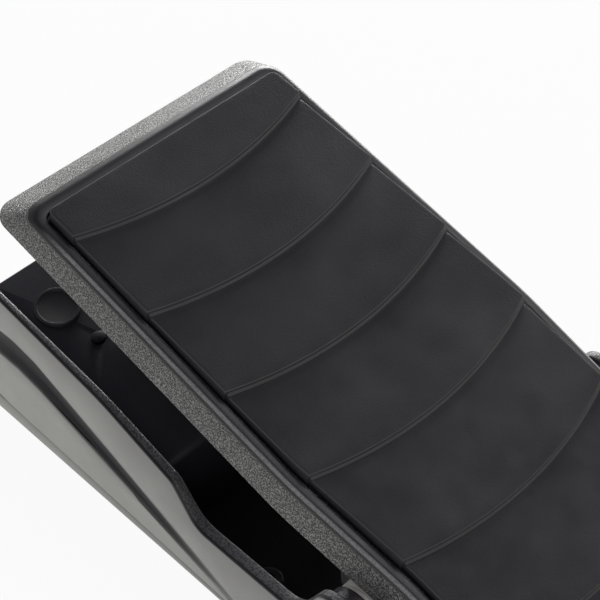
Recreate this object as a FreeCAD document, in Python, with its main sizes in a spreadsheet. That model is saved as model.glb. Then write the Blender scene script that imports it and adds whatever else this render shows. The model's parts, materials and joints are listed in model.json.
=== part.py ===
import FreeCAD, Part
import math
import os
import Sketcher
from FreeCAD import Placement, Rotation, Vector

# Expression pedal: a wedge-shaped base with a rocking treadle, its drive and its controls.
# X is across the pedal, +Y points to the toe, +Z is up, and the feet stand on Z = 0.
# The treadle is drawn in its own frame, whose origin is the pivot and whose Y runs along it.

doc = FreeCAD.newDocument("ExpressionPedal")
os.makedirs("parts", exist_ok=True)

# Driving sizes, in millimetres and degrees
SIZES = [
    # Base shell and its bottom cover
    ("base_length", 252),
    ("base_width", 102),
    ("wall_draft", 2.9),
    ("corner_radius", 3),
    ("margin", 5),
    ("wall_thick", 2.5),
    ("wall_room", 4.8),
    ("toe_lean", 13.3),
    ("foot_proud", 1.5),
    ("foot_radius", 8),
    ("foot_thick", 3),
    ("foot_inset_x", 11),
    ("foot_inset_toe", 50),
    ("foot_inset_heel", 17),
    ("cover_thick", 2),
    ("lip_start_y", 20),
    ("lip_rise", 4.4),
    # Top profile of the side walls, from the toe to the heel
    ("rim_toe_z", 53),
    ("rim_knee_run", 25.5),
    ("rim_knee_z", 44.4),
    ("rim_end_reach", 55.7),
    ("rim_end_z", 35.5),
    ("valley_reach", 47.8),
    ("valley_z", 24.5),
    ("ear_radius", 7.6),
    ("ear_foot_share", 1.9),
    ("ear_top_share", 0.75),
    ("ear_back_share", 2.7),
    ("heel_wall_z", 6.3),
    ("heel_wall_inset", 18),
    ("rim_knee_round", 60),
    ("rim_end_round", 4),
    ("valley_round", 7),
    ("ear_foot_round", 9),
    ("ear_top_round", 5.5),
    ("ear_back_round", 12),
    ("heel_wall_round", 20),
    # Deck of the toe housing and heel deck
    ("deck_toe_drop", 1.2),
    ("deck_slope", 12),
    ("deck_knee_run", 19),
    ("deck_end_reach", 61.8),
    ("deck_end_drop", 10.2),
    ("deck_knee_round", 30),
    ("deck_end_round", 3),
    ("deck_lug_radius", 3.5),
    ("deck_lug_depth", 3.6),
    ("heel_deck_inset", 42),
    ("heel_deck_thick", 2),
    # Groove in the side walls: a cove that is deepest below its middle and fades to the heel
    ("groove_half", 6.1),
    ("groove_depth", 1.7),
    ("groove_floor_high", 1.4),
    ("groove_floor_low", 3.9),
    ("groove_overrun", 0.25),
    ("groove_middle_z", 34.4),
    ("groove_bend_inset", 23.5),
    ("groove_bend_run", 4.5),
    ("groove_slope", 19.1),
    ("groove_end_share", 0.38),
    ("groove_end_depth", 0.15),
    # Recess in the toe face that holds the controls
    ("niche_side_inset", 15),
    ("niche_bottom_z", 10),
    ("niche_top_z", 30.5),
    ("niche_corner", 3),
    ("panel_inset", 12.5),
    ("panel_thick", 2.5),
    ("control_z", 18.1),
    # Screws of the bottom cover
    ("cover_screw_inset_x", 8),
    ("cover_screw_inset_toe", 28),
    ("cover_screw_mid_y", 19),
    ("cover_screw_inset_heel", 50),
    ("boss_radius", 4),
    ("boss_height", 9),
    ("screw_radius", 1.5),
    ("screw_head_radius", 2.8),
    ("screw_head_thick", 1.6),
    ("screw_clearance", 0.1),
    ("tray_corner", 3),
    # Pads that stop the treadle
    ("toe_pad_radius", 6),
    ("toe_pad_proud", 1.5),
    ("toe_pad_inset_x", 12.5),
    ("toe_pad_inset_toe", 27.8),
    ("toe_pad_dish", 0.3),
    ("toe_pad_rim", 0.9),
    ("heel_pad_radius", 6),
    ("heel_pad_thick", 2),
    ("heel_pad_inset_x", 23),
    ("heel_pad_inset_heel", 22),
    ("heel_pad_top_z", 12),
    ("stop_radius", 3.2),
    ("stop_gap", 0.15),
    ("deck_screw_inset_x", 14.7),
    ("deck_screw_inset_toe", 41.3),
    ("deck_screw_head", 2),
    ("deck_screw_head_thick", 0.6),
    ("deck_screw_lift", 0.42),
    ("deck_screw_length", 6),
    # Pivot of the treadle
    ("pivot_y", 11.8),
    ("pivot_z", 33.2),
    ("rest_tilt", 17.4),
    ("tilt_travel", 11.4),
    ("axle_radius", 3),
    ("axle_inset", 4),
    ("clip_radius", 5.5),
    ("clip_thick", 0.8),
    ("clip_mouth", 3.4),
    ("bush_radius", 4.5),
    ("bush_flange_radius", 6.5),
    ("bush_flange_thick", 1),
    ("ear_boss_inset", 8),
    ("ear_boss_radius", 7),
    ("running_clearance", 0.05),
    ("fixed_clearance", 0.01),
    ("washer_thick", 2.3),
    ("washer_clearance", 0.1),
    ("cap_radius", 5.5),
    ("cap_inset", 1.3),
    ("cap_gap", 0.9),
    # Treadle frame
    ("tread_side_gap", 2.2),
    ("toe_setback", 8),
    ("heel_setback", 5.2),
    ("tread_top", 15),
    ("skirt_bottom", 6.6),
    ("skirt_run", 3.1),
    ("toe_bevel_run", 9.9),
    ("heel_bevel_run", 6),
    ("tread_corner", 6),
    ("waist_depth", 2.5),
    ("waist_y", 7),
    ("waist_start_y", 27.5),
    ("waist_end_y", 48),
    ("heel_narrowing", 1.2),
    ("waist_round", 130),
    ("plate_under", 11),
    ("skirt_thick", 3.6),
    ("hollow_toe_inset", 9),
    ("rib_depth", 4),
    ("rib_thick", 2),
    ("rib_x", 20),
    ("lug_thick", 4),
    ("lug_radius", 8),
    ("lug_root", 13),
    ("lug_side_share", 0.92),
    ("lug_round_share", 0.8),
    ("rib_setback", 8),
    ("cross_rib_inset_toe", 30),
    ("cross_rib_inset_heel", 20),
    ("ridge_edge", 1),
    # Rubber mat and its shingles
    ("mat_side_inset", 6.5),
    ("mat_toe_inset", 14),
    ("mat_heel_inset", 12),
    ("mat_corner", 2),
    ("mat_recess", 1.5),
    ("mat_gap", 0.5),
    ("shingle_first_inset", 9.8),
    ("shingle_pitch", 26.44),
    ("shingle_bow", 6.4),
    ("shingle_step", 1.7),
    ("shingle_top", 18),
    # Drive: toothed sector, pinion and potentiometer
    ("gear_module", 0.9),
    ("sector_teeth", 96),
    ("pinion_teeth", 12),
    ("pressure_angle", 25),
    ("tooth_backlash", 0.16),
    ("mesh_angle", 22),
    ("sector_margin", 3.4),
    ("sector_thick", 3),
    ("sector_back", 5),
    ("sector_shoulder", 4),
    ("sector_cheek_share", 0.55),
    ("sector_top", 9.4),
    ("sector_window_radius", 5.5),
    ("sector_window_share", 0.53),
    ("hub_radius", 7),
    ("hub_half", 5),
    ("centre_rib_thick", 3),
    ("centre_rib_start", 8),
    ("centre_rib_end", 27),
    ("centre_rib_edge", 3.4),
    ("sector_screw_near", 12),
    ("sector_screw_far", 23),
    ("sector_screw_z", 6),
    ("pinion_half", 2.5),
    ("pot_radius", 8.25),
    ("pot_length", 8),
    ("bracket_x", 6.5),
    ("bracket_thick", 1.5),
    ("bracket_half_width", 10),
    ("bracket_foot", 13),
    ("bracket_screw_inset", 3.5),
    ("bracket_top", 8.5),
    ("pot_bush_radius", 3.5),
    ("pot_bush_end_x", 3.2),
    ("nut_flats", 10),
    ("nut_thick", 2),
    ("spindle_radius", 3),
    ("spindle_end_x", 3.5),
    # Circuit board and what stands on it
    ("board_side_inset", 17),
    ("board_length", 42),
    ("board_thick", 1.6),
    ("board_z", 9),
    ("board_gap", 3),
    ("board_hole_inset", 3.5),
    ("standoff_radius", 3),
    ("control_inset_x", 14),
    ("jack_body_width", 14),
    ("jack_body_length", 24),
    ("jack_nose_radius", 4.7),
    ("jack_nose_length", 4.2),
    ("jack_bore_radius", 3.25),
    ("jack_bore_depth", 27),
    ("jack_nut_flats", 13),
    ("range_body_width", 12),
    ("range_body_length", 8),
    ("range_bush_length", 4.2),
    ("range_spindle_radius", 2.95),
    ("range_spindle_reach", 5.8),
    ("end_play", 0.2),
    ("knob_radius", 6.5),
    ("knob_length", 7.7),
    ("knob_gap", 0.5),
    ("knob_flutes", 12),
    ("knob_wall", 1.2),
    ("knob_top", 0.5),
    ("flute_radius", 0.9),
    ("pointer_width", 1),
    ("pointer_depth", 0.6),
    ("spindle_setback", 1.5),
    ("switch_width", 11),
    ("switch_length", 5),
    ("switch_height", 11.5),
    ("slider_size", 2.4),
    ("slider_travel", 3),
    ("slider_proud", 2.2),
    ("slider_reach", 3.5),
    ("slot_clearance", 0.3),
    ("lead_radius", 0.6),
    ("lead_pitch", 3),
    ("lead_bend", 1.2),
    ("lead_socket_y", 12),
    ("lead_socket_size", 5),
    ("lead_lift", 0.4),
    ("solder_lug_width", 1.5),
    ("solder_lug_length", 3),
]

sheet = doc.addObject("Spreadsheet::Sheet", "Sizes")


class Size:
    """A number together with the spreadsheet formula that gives it."""

    def __init__(self, text, number):
        self.text = text
        self.number = float(number)

    def joined(self, sign, left, right, number):
        return Size(f"({text_of(left)} {sign} {text_of(right)})", number)

    def __add__(self, other):
        return self.joined("+", self, other, self.number + float(other))

    def __radd__(self, other):
        return self.joined("+", other, self, float(other) + self.number)

    def __sub__(self, other):
        return self.joined("-", self, other, self.number - float(other))

    def __rsub__(self, other):
        return self.joined("-", other, self, float(other) - self.number)

    def __mul__(self, other):
        return self.joined("*", self, other, self.number * float(other))

    def __rmul__(self, other):
        return self.joined("*", other, self, float(other) * self.number)

    def __truediv__(self, other):
        return self.joined("/", self, other, self.number / float(other))

    def __rtruediv__(self, other):
        return self.joined("/", other, self, float(other) / self.number)

    def __neg__(self):
        return Size(f"(-1 * {self.text})", -self.number)

    def __float__(self):
        return self.number


def text_of(size):
    return size.text if isinstance(size, Size) else repr(float(size))


def sine(angle):
    return Size(f"sin({angle.text})", math.sin(math.radians(float(angle))))


def cosine(angle):
    return Size(f"cos({angle.text})", math.cos(math.radians(float(angle))))


def tangent(angle):
    return sine(angle) / cosine(angle)


class Named:
    """Every driving size by its name."""


size = Named()
for row, (name, number) in enumerate(SIZES, start=1):
    sheet.set(f"A{row}", name)
    sheet.set(f"B{row}", str(number))
    sheet.setAlias(f"B{row}", name)
    setattr(size, name, Size(f"Sizes.{name}", number))
doc.recompute()


# Helpers for binding sizes, drawing outlines and making features

def bind(thing, name, value):
    if isinstance(value, Size):
        thing.setExpression(name, value.text)
    else:
        thing.setExpression(name, repr(float(value)))


def put(thing, x=0.0, y=0.0, z=0.0, axis=None, angle=None):
    """Place a thing, with its turn about an axis where one is given."""
    turn = Rotation(axis, float(angle)) if axis else Rotation()
    thing.Placement = Placement(Vector(float(x), float(y), float(z)), turn)
    for name, value in (("x", x), ("y", y), ("z", z)):
        if isinstance(value, Size):
            bind(thing, f"Placement.Base.{name}", value)
    if isinstance(angle, Size):
        bind(thing, "Placement.Rotation.Angle", angle)
    return thing


ALONG_X = Vector(1, 0, 0)
ALONG_Y = Vector(0, 1, 0)


def new_body(label):
    body = doc.addObject("PartDesign::Body", label)
    body.Label = label
    return body


def plane_of(body, role):
    return next(item for item in body.Origin.OriginFeatures if item.Role == role)


def new_sketch(body, role, offset=0.0):
    sketch = body.newObject("Sketcher::SketchObject", "Sketch")
    sketch.AttachmentSupport = [(plane_of(body, role), "")]
    sketch.MapMode = "FlatFace"
    bind(sketch, "AttachmentOffset.Base.z", offset)
    return sketch


def point_rules(geometry, end, x, y):
    """The two rules that hold a point at a place."""
    return [
        (Sketcher.Constraint("DistanceX", -1, 1, geometry, end, float(x)), x),
        (Sketcher.Constraint("DistanceY", -1, 1, geometry, end, float(y)), y),
    ]


def radius_rule(geometry, radius):
    return (Sketcher.Constraint("Radius", geometry, float(radius)), radius)


def apply_rules(sketch, rules):
    """Add all rules at once, then bind those that come with a size."""
    numbers = sketch.addConstraint([rule for rule, value in rules])
    for number, (rule, value) in zip(numbers, rules):
        if isinstance(value, Size):
            sketch.setExpression(f"Constraints[{number}]", value.text)


def arc_through(start, middle, end):
    """Arc through three points, always drawn anticlockwise."""
    if (middle - start).cross(end - middle).z < 0:
        start, end = end, start
    return Part.Arc(start, middle, end)


def outline(sketch, corners):
    """Closed outline through corners (x, y), each sharp or rounded by a third value."""
    points = [Vector(float(corner[0]), float(corner[1]), 0) for corner in corners]
    count = len(corners)
    starts = []
    ends = []
    arcs = {}
    for index, corner in enumerate(corners):
        before = (points[index - 1] - points[index]).normalize()
        after = (points[(index + 1) % count] - points[index]).normalize()
        if len(corner) < 3:
            ends.append(points[index])
            starts.append(points[index])
            continue
        radius = float(corner[2])
        half = before.getAngle(after) / 2
        reach = radius / math.tan(half)
        middle = (before + after).normalize()
        centre = points[index] + middle * (radius / math.sin(half))
        ends.append(points[index] + before * reach)
        starts.append(points[index] + after * reach)
        arcs[index] = arc_through(ends[-1], centre - middle * radius, starts[-1])
    lines = [
        sketch.addGeometry(Part.LineSegment(starts[index], ends[(index + 1) % count]))
        for index in range(count)
    ]
    rules = []
    for index, corner in enumerate(corners):
        line_in = lines[index - 1]
        line_out = lines[index]
        if index not in arcs:
            rules.append((Sketcher.Constraint("Coincident", line_in, 2, line_out, 1), None))
            rules += point_rules(line_out, 1, corner[0], corner[1])
            continue
        arc = sketch.addGeometry(arcs[index])
        mark = sketch.addGeometry(Part.Point(points[index]), True)
        rules += point_rules(mark, 1, corner[0], corner[1])
        curve = sketch.Geometry[arc]
        first = 1 if curve.StartPoint.distanceToPoint(ends[index]) < 1e-6 else 2
        rules += [
            (Sketcher.Constraint("PointOnObject", mark, 1, line_in), None),
            (Sketcher.Constraint("PointOnObject", mark, 1, line_out), None),
            (Sketcher.Constraint("Tangent", line_in, 2, arc, first), None),
            (Sketcher.Constraint("Tangent", line_out, 1, arc, 3 - first), None),
            radius_rule(arc, corner[2]),
        ]
    apply_rules(sketch, rules)


def box_corners(x_low, y_low, x_high, y_high):
    return [(x_low, y_low), (x_high, y_low), (x_high, y_high), (x_low, y_high)]


def pad(body, sketch, length, reversed_way=False, midplane=False):
    feature = body.newObject("PartDesign::Pad", "Pad")
    feature.Profile = sketch
    bind(feature, "Length", length)
    feature.Reversed = reversed_way
    feature.Midplane = midplane
    return feature


def pocket(body, sketch, length, reversed_way=False, midplane=False):
    """Cut a sketch out of a body, and make sure that something was cut."""
    doc.recompute()
    before = body.Shape.Volume
    feature = body.newObject("PartDesign::Pocket", "Pocket")
    feature.Profile = sketch
    bind(feature, "Length", length)
    feature.Reversed = reversed_way
    feature.Midplane = midplane
    doc.recompute()
    if body.Shape.Volume > before - 1e-3:
        raise ValueError(f"a pocket in {body.Label} cuts nothing")
    return feature


def rod(body, radius, length, x, y, z, axis=None, angle=None, cut=False):
    """Add or cut a round rod that starts at a point and runs along its own Z."""
    kind = "PartDesign::SubtractiveCylinder" if cut else "PartDesign::AdditiveCylinder"
    feature = body.newObject(kind, "Rod")
    bind(feature, "Radius", radius)
    bind(feature, "Height", length)
    return put(feature, x, y, z, axis, angle)


def block(body, x_low, y_low, z_low, x_size, y_size, z_size, cut=False):
    kind = "PartDesign::SubtractiveBox" if cut else "PartDesign::AdditiveBox"
    feature = body.newObject(kind, "Block")
    bind(feature, "Length", x_size)
    bind(feature, "Width", y_size)
    bind(feature, "Height", z_size)
    return put(feature, x_low, y_low, z_low)


def mirrored(body, features):
    """Repeat features on the other side of the middle plane."""
    doc.recompute()
    feature = body.newObject("PartDesign::Mirrored", "Mirrored")
    feature.Originals = features
    feature.MirrorPlane = (plane_of(body, "YZ_Plane"), [""])
    body.Tip = feature
    doc.recompute()
    return feature


def round_edges(body, radius, wanted):
    """Round the edges of a body that a test picks."""
    doc.recompute()
    names = [f"Edge{number}" for number, edge in enumerate(body.Shape.Edges, start=1) if wanted(edge)]
    base = body.Tip
    feature = body.newObject("PartDesign::Fillet", "Fillet")
    feature.Base = (base, names)
    bind(feature, "Radius", radius)
    doc.recompute()
    return feature


def cylinder(radius, length, x, y, z, axis=None, angle=None):
    shape = doc.addObject("Part::Cylinder", "Cylinder")
    bind(shape, "Radius", radius)
    bind(shape, "Height", length)
    return put(shape, x, y, z, axis, angle)


def cuboid(x_low, y_low, z_low, x_size, y_size, z_size):
    shape = doc.addObject("Part::Box", "Cuboid")
    bind(shape, "Length", x_size)
    bind(shape, "Width", y_size)
    bind(shape, "Height", z_size)
    return put(shape, x_low, y_low, z_low)


def hexagon(flats, length, x, y, z, axis, angle):
    shape = doc.addObject("Part::Prism", "Hexagon")
    shape.Polygon = 6
    bind(shape, "Circumradius", flats / 1.7320508)
    bind(shape, "Height", length)
    return put(shape, x, y, z, axis, angle)


def fused(shapes, label=None):
    whole = doc.addObject("Part::MultiFuse", "Fusion")
    whole.Shapes = shapes
    whole.Refine = True
    if label:
        whole.Label = label
    return whole


def cut_from(base, tool, label=None):
    whole = doc.addObject("Part::Cut", "Cut")
    whole.Base = base
    whole.Tool = tool
    whole.Refine = True
    if label:
        whole.Label = label
    return whole


def common_of(form, section, label):
    whole = doc.addObject("Part::Common", "Common")
    whole.Base = form
    whole.Tool = section
    whole.Label = label
    return whole


def together(shapes, label):
    """Alike pieces that lie apart, kept as separate solids of one sub-part."""
    group = doc.addObject("Part::Compound", label)
    group.Links = shapes
    group.Label = label
    return group


def seat_on_pivot(thing):
    """Put a piece that is drawn in the treadle's frame at its resting tilt."""
    return put(thing, 0.0, -size.pivot_y, size.pivot_z, ALONG_X, size.rest_tilt)


# Places that several pieces share
base_half = size.base_length / 2
half_width = size.base_width / 2
side_inner = half_width - size.wall_room
floor_z = size.foot_proud + size.cover_thick
rim_end_y = size.rim_end_reach - size.pivot_y
rim_knee_y = rim_end_y + size.rim_knee_run
valley_y = size.valley_reach - size.pivot_y
heel_wall_y = base_half - size.heel_wall_inset
deck_end_y = size.deck_end_reach - size.pivot_y
deck_knee_y = deck_end_y + size.deck_knee_run
heel_deck_y = base_half - size.heel_deck_inset
groove_bend_y = base_half - size.groove_bend_inset
half_niche = half_width - size.niche_side_inset
panel_y = base_half - size.panel_inset
cover_screw_x = half_width - size.cover_screw_inset_x
cover_screw_toe_y = base_half - size.cover_screw_inset_toe
cover_screw_heel_y = base_half - size.cover_screw_inset_heel
toe_pad_x = half_width - size.toe_pad_inset_x
toe_pad_y = base_half - size.toe_pad_inset_toe
heel_pad_x = half_width - size.heel_pad_inset_x
heel_pad_y = base_half - size.heel_pad_inset_heel
deck_screw_x = half_width - size.deck_screw_inset_x
deck_screw_y = base_half - size.deck_screw_inset_toe
axle_half = half_width - size.axle_inset
boss_inner_x = half_width - size.ear_boss_inset
cap_edge_x = half_width - size.cap_inset
lug_outer = boss_inner_x - size.bush_flange_thick - size.washer_thick - size.washer_clearance
skirt_half = side_inner - size.tread_side_gap
tread_toe = base_half + size.pivot_y - size.toe_setback
tread_heel = base_half - size.pivot_y - size.heel_setback
mat_half = skirt_half - size.mat_side_inset
mat_toe = tread_toe - size.mat_toe_inset
mat_heel = tread_heel - size.mat_heel_inset
shingle_first_y = mat_toe - size.shingle_first_inset
board_half = half_width - size.board_side_inset
control_x = board_half - size.control_inset_x
deck_toe_z = size.rim_toe_z - size.deck_toe_drop
toe_top_y = base_half - (size.rim_toe_z - size.foot_proud) * tangent(size.toe_lean)
deck_end_z = deck_toe_z - (toe_top_y - deck_knee_y) * tangent(size.deck_slope) - size.deck_end_drop
panel_back = panel_y - size.panel_thick
knob_start_y = panel_y + size.nut_thick + size.knob_gap
knob_end_y = knob_start_y + size.knob_length
heel_wall_inner = -(base_half - size.wall_thick)
heel_deck_top = floor_z + size.heel_deck_thick
gear_distance = size.gear_module * (size.sector_teeth + size.pinion_teeth) / 2
pinion_y = gear_distance * cosine(size.mesh_angle) - size.pivot_y
pinion_z = size.pivot_z - gear_distance * sine(size.mesh_angle)
above_all = size.rim_toe_z + size.margin * 4
past_end = base_half + size.margin
bush_end = axle_half + size.cap_gap
board_top = size.board_z + size.board_thick
board_toe_y = panel_back - size.board_gap
board_heel_y = board_toe_y - size.board_length
cover_screw_places = [
    (cover_screw_x, cover_screw_toe_y),
    (cover_screw_x, size.cover_screw_mid_y),
    (cover_screw_x, -cover_screw_heel_y),
]


def deck_height(y):
    """Height of the toe housing's deck, in line with its sloping part."""
    return deck_toe_z - (toe_top_y - y) * tangent(size.deck_slope)


def wedge(label):
    """The outer form that the shell and the cover share: drafted walls and a leaning toe."""
    body = new_body(label)
    plan = new_sketch(body, "XY_Plane", size.foot_proud)
    outline(plan, box_corners(-half_width, -base_half, half_width, base_half))
    block_out = pad(body, plan, above_all)
    bind(block_out, "TaperAngle", -size.wall_draft)
    lean = new_sketch(body, "YZ_Plane")
    top_z = above_all + size.foot_proud
    lean_top = base_half - above_all * tangent(size.toe_lean)
    outline(lean, [
        (base_half, size.foot_proud),
        (base_half + size.wall_thick, size.foot_proud),
        (base_half + size.wall_thick, top_z),
        (lean_top, top_z),
    ])
    pocket(body, lean, size.base_width * 2, midplane=True)
    round_edges(body, size.corner_radius, lambda edge: abs(edge.BoundBox.ZLength - float(above_all)) < 1)
    return body


# Base shell, with the lid of its toe housing and the panel in its toe wall

def parting_height(y):
    """Height of the sloping line where the shell meets the cover, heelward of the toe."""
    return floor_z + size.lip_rise * (y - size.lip_start_y) / (base_half - size.lip_start_y)


def toe_wall_inner(z):
    """Where the inner face of the leaning toe wall stands at a height."""
    across = size.wall_thick / cosine(size.toe_lean)
    return base_half - across - (z - size.foot_proud) * tangent(size.toe_lean)


def under_deck(y):
    return deck_height(y) - size.wall_thick / cosine(size.deck_slope)


def cut_below_parting(body):
    below = new_sketch(body, "YZ_Plane")
    outline(below, [
        (-past_end, 0),
        (past_end, 0),
        (past_end, floor_z + size.lip_rise),
        (base_half, floor_z + size.lip_rise),
        (size.lip_start_y, floor_z),
        (-past_end, floor_z),
    ])
    pocket(body, below, size.base_width * 2, midplane=True)


def wall_face(z):
    """How far the drafted side wall stands out at a height."""
    return half_width - (z - size.foot_proud) * tangent(size.wall_draft)


def groove_section(body, y, middle, share, depth):
    """The groove across a side wall at a place along it, open to the outside."""
    sketch = new_sketch(body, "XZ_Plane", -y)
    top = middle + size.groove_half * share
    low = middle - size.groove_half * share
    floor_high = middle - size.groove_floor_high * share
    floor_low = middle - size.groove_floor_low * share
    over = depth * size.groove_overrun
    past_top = top + (top - floor_high) * size.groove_overrun
    past_low = low - (floor_low - low) * size.groove_overrun
    outline(sketch, [
        (half_width + size.margin, past_top),
        (wall_face(top) + over, past_top),
        (wall_face(floor_high) - depth, floor_high),
        (wall_face(floor_low) - depth, floor_low),
        (wall_face(low) + over, past_low),
        (half_width + size.margin, past_low),
    ])
    return sketch


def make_base_shell():
    body = wedge("base_shell")
    full = size.base_width * 2
    cut_below_parting(body)
    # Top profile: rim of the toe housing, notch, ear round the pivot, heel
    above = new_sketch(body, "YZ_Plane")
    ear_top = size.pivot_z + size.ear_radius
    rim_slope = (size.rim_toe_z - size.rim_knee_z) / (toe_top_y - rim_knee_y)
    outline(above, [
        (past_end, size.rim_toe_z + (past_end - toe_top_y) * rim_slope),
        (rim_knee_y, size.rim_knee_z, size.rim_knee_round),
        (rim_end_y, size.rim_end_z, size.rim_end_round),
        (valley_y, size.valley_z, size.valley_round),
        (size.ear_radius * size.ear_foot_share - size.pivot_y, size.valley_z, size.ear_foot_round),
        (size.ear_radius * size.ear_top_share - size.pivot_y, ear_top, size.ear_top_round),
        (-size.ear_radius * size.ear_top_share - size.pivot_y, ear_top, size.ear_top_round),
        (-size.ear_radius * size.ear_back_share - size.pivot_y, size.valley_z, size.ear_back_round),
        (-heel_wall_y, size.heel_wall_z, size.heel_wall_round),
        (-past_end, size.heel_wall_z),
        (-past_end, above_all + size.margin),
        (past_end, above_all + size.margin),
    ])
    pocket(body, above, full, midplane=True)
    # Open bay between the side walls, from the heel deck to the toe wall
    bay = new_sketch(body, "YZ_Plane")
    outline(bay, [
        (toe_wall_inner(0), 0),
        (toe_wall_inner(above_all), above_all),
        (heel_wall_inner, above_all),
        (heel_wall_inner, heel_deck_top),
        (-heel_deck_y, heel_deck_top),
        (-heel_deck_y, 0),
    ])
    pocket(body, bay, side_inner * 2, midplane=True)
    # Window in the toe wall for the control panel
    reach = half_niche + size.wall_thick + size.fixed_clearance
    block(body, -reach, panel_back, 0.0, reach * 2, size.panel_inset * 2,
          size.niche_top_z + size.wall_thick + size.fixed_clearance, cut=True)
    # Groove along each side, level at the toe and then falling to the parting line
    bend_start = groove_bend_y + size.groove_bend_run
    bend_end = groove_bend_y - size.groove_bend_run
    falling = tangent(size.groove_slope)
    bent_z = size.groove_middle_z - size.groove_bend_run * falling
    end_z = bent_z - (bend_end - size.lip_start_y) * falling
    whole = Size("1", 1)
    sections = [
        groove_section(body, past_end, size.groove_middle_z, whole, size.groove_depth),
        groove_section(body, bend_start, size.groove_middle_z, whole, size.groove_depth),
        groove_section(body, bend_end, bent_z, whole, size.groove_depth),
        groove_section(body, size.lip_start_y, end_z, size.groove_end_share, size.groove_end_depth),
    ]
    groove = body.newObject("PartDesign::SubtractiveLoft", "Groove")
    groove.Profile = sections[0]
    groove.Sections = sections[1:]
    groove.Ruled = True
    mirrored(body, [groove])
    # Bosses for the cover's screws, posts of the heel pads, lugs that carry the lid's screws
    doc.recompute()
    added = []
    for number, (x, y) in enumerate(cover_screw_places):
        base_z = floor_z + (size.lip_rise if number == 0 else 0)
        added.append(rod(body, size.boss_radius, size.boss_height, x, y, base_z))
    post = size.heel_pad_top_z - size.heel_pad_thick - floor_z
    added.append(rod(body, size.heel_pad_radius + 1, post, heel_pad_x, -heel_pad_y, floor_z))
    lug_top = deck_height(deck_screw_y)
    lug_low = under_deck(deck_screw_y) - size.deck_lug_depth
    added.append(rod(body, size.deck_lug_radius, lug_top - lug_low, deck_screw_x, deck_screw_y, lug_low))
    added.append(block(body, deck_screw_x, deck_screw_y - size.rib_thick / 2, lug_low,
                       side_inner - deck_screw_x + 0.5, size.rib_thick, lug_top - lug_low))
    mirrored(body, added)
    # The lid rests on the toe wall and on its lugs
    seat = new_sketch(body, "YZ_Plane")
    seat_start = deck_knee_y + size.margin
    outline(seat, [
        (seat_start, under_deck(seat_start)),
        (past_end, under_deck(past_end)),
        (past_end, above_all),
        (seat_start, above_all),
    ])
    pocket(body, seat, side_inner * 2, midplane=True)
    # Ear bosses that hold the pivot bushes
    depth = side_inner - boss_inner_x + 1
    for x in (boss_inner_x, -boss_inner_x - depth):
        rod(body, size.ear_boss_radius, depth, x, -size.pivot_y, size.pivot_z, ALONG_Y, 90)
    # Bores: screws, bushes, axle caps
    bores = []
    pilot = size.screw_radius + size.screw_clearance
    for x, y in cover_screw_places:
        bores.append(rod(body, pilot, floor_z + size.lip_rise + size.boss_height, x, y, 0, cut=True))
    bores.append(rod(body, pilot, lug_top - lug_low, deck_screw_x, deck_screw_y, lug_low + 0.5, cut=True))
    mirrored(body, bores)
    for radius, start in ((size.bush_radius, Size("0", 0)), (size.cap_radius, bush_end)):
        length = size.base_width
        for x in (start, -start - length):
            rod(body, radius + size.fixed_clearance, length, x, -size.pivot_y, size.pivot_z,
                ALONG_Y, 90, cut=True)
    body.Tip = body.Group[-1]
    return body


def make_deck_plate():
    """Lid over the toe housing with its heel wall in one piece, let in between the side walls."""
    body = new_body("deck_section")
    wall_heel = deck_end_y + size.wall_thick
    knee_under_y = deck_knee_y + size.wall_thick * 0.6
    section = new_sketch(body, "YZ_Plane")
    outline(section, [
        (deck_end_y, floor_z),
        (deck_end_y, deck_end_z, size.deck_end_round),
        (deck_knee_y, deck_height(deck_knee_y), size.deck_knee_round),
        (past_end, deck_height(past_end)),
        (past_end, under_deck(past_end)),
        (knee_under_y, under_deck(knee_under_y), size.deck_knee_round - size.wall_thick),
        (wall_heel, deck_end_z - size.wall_thick * 0.3),
        (wall_heel, floor_z),
    ])
    pad(body, section, (side_inner - size.fixed_clearance) * 2, midplane=True)
    doc.recompute()
    for side in (deck_screw_x, -deck_screw_x):
        rod(body, size.screw_radius + size.screw_clearance, size.margin * 2, side, deck_screw_y,
            deck_height(deck_screw_y) - size.margin, cut=True)
    lead_x = size.bracket_x + size.bracket_thick + size.pot_length / 2
    lead_room = size.lead_radius * 2 + 1
    block(body, lead_x - size.lead_pitch - lead_room, deck_end_y - 1, pinion_z - lead_room,
          (size.lead_pitch + lead_room) * 2, size.wall_thick + 2, lead_room * 2, cut=True)
    body.Tip = body.Group[-1]
    return common_of(wedge("deck_form"), body, "deck_plate")


def make_control_panel():
    """Recessed panel for the jack, the switch and the range pot, pressed into the toe wall's window."""
    body = new_body("panel_section")
    section = new_sketch(body, "YZ_Plane")
    top = size.niche_top_z + size.wall_thick
    outline(section, [
        (panel_back, parting_height(panel_back)),
        (base_half, floor_z + size.lip_rise),
        (past_end, floor_z + size.lip_rise),
        (past_end, top),
        (panel_back, top),
    ])
    pad(body, section, (half_niche + size.wall_thick) * 2, midplane=True)
    niche = new_sketch(body, "XZ_Plane", -panel_y)
    corner = size.niche_corner
    outline(niche, [
        (-half_niche, size.niche_bottom_z, corner),
        (half_niche, size.niche_bottom_z, corner),
        (half_niche, size.niche_top_z, corner),
        (-half_niche, size.niche_top_z, corner),
    ])
    pocket(body, niche, size.panel_inset * 2, reversed_way=False)
    for x, radius in ((-control_x, size.jack_nose_radius), (control_x, size.pot_bush_radius)):
        rod(body, radius + size.screw_clearance, size.margin, x, panel_y + 1, size.control_z,
            ALONG_X, 90, cut=True)
    slot_width = size.slider_size + size.slider_travel + size.slot_clearance * 2
    slot_height = size.slider_size + size.slot_clearance * 2
    block(body, -slot_width / 2, panel_back - 1, size.control_z - slot_height / 2,
          slot_width, size.margin, slot_height, cut=True)
    body.Tip = body.Group[-1]
    return common_of(wedge("panel_form"), body, "control_panel")


# Bottom cover

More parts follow.
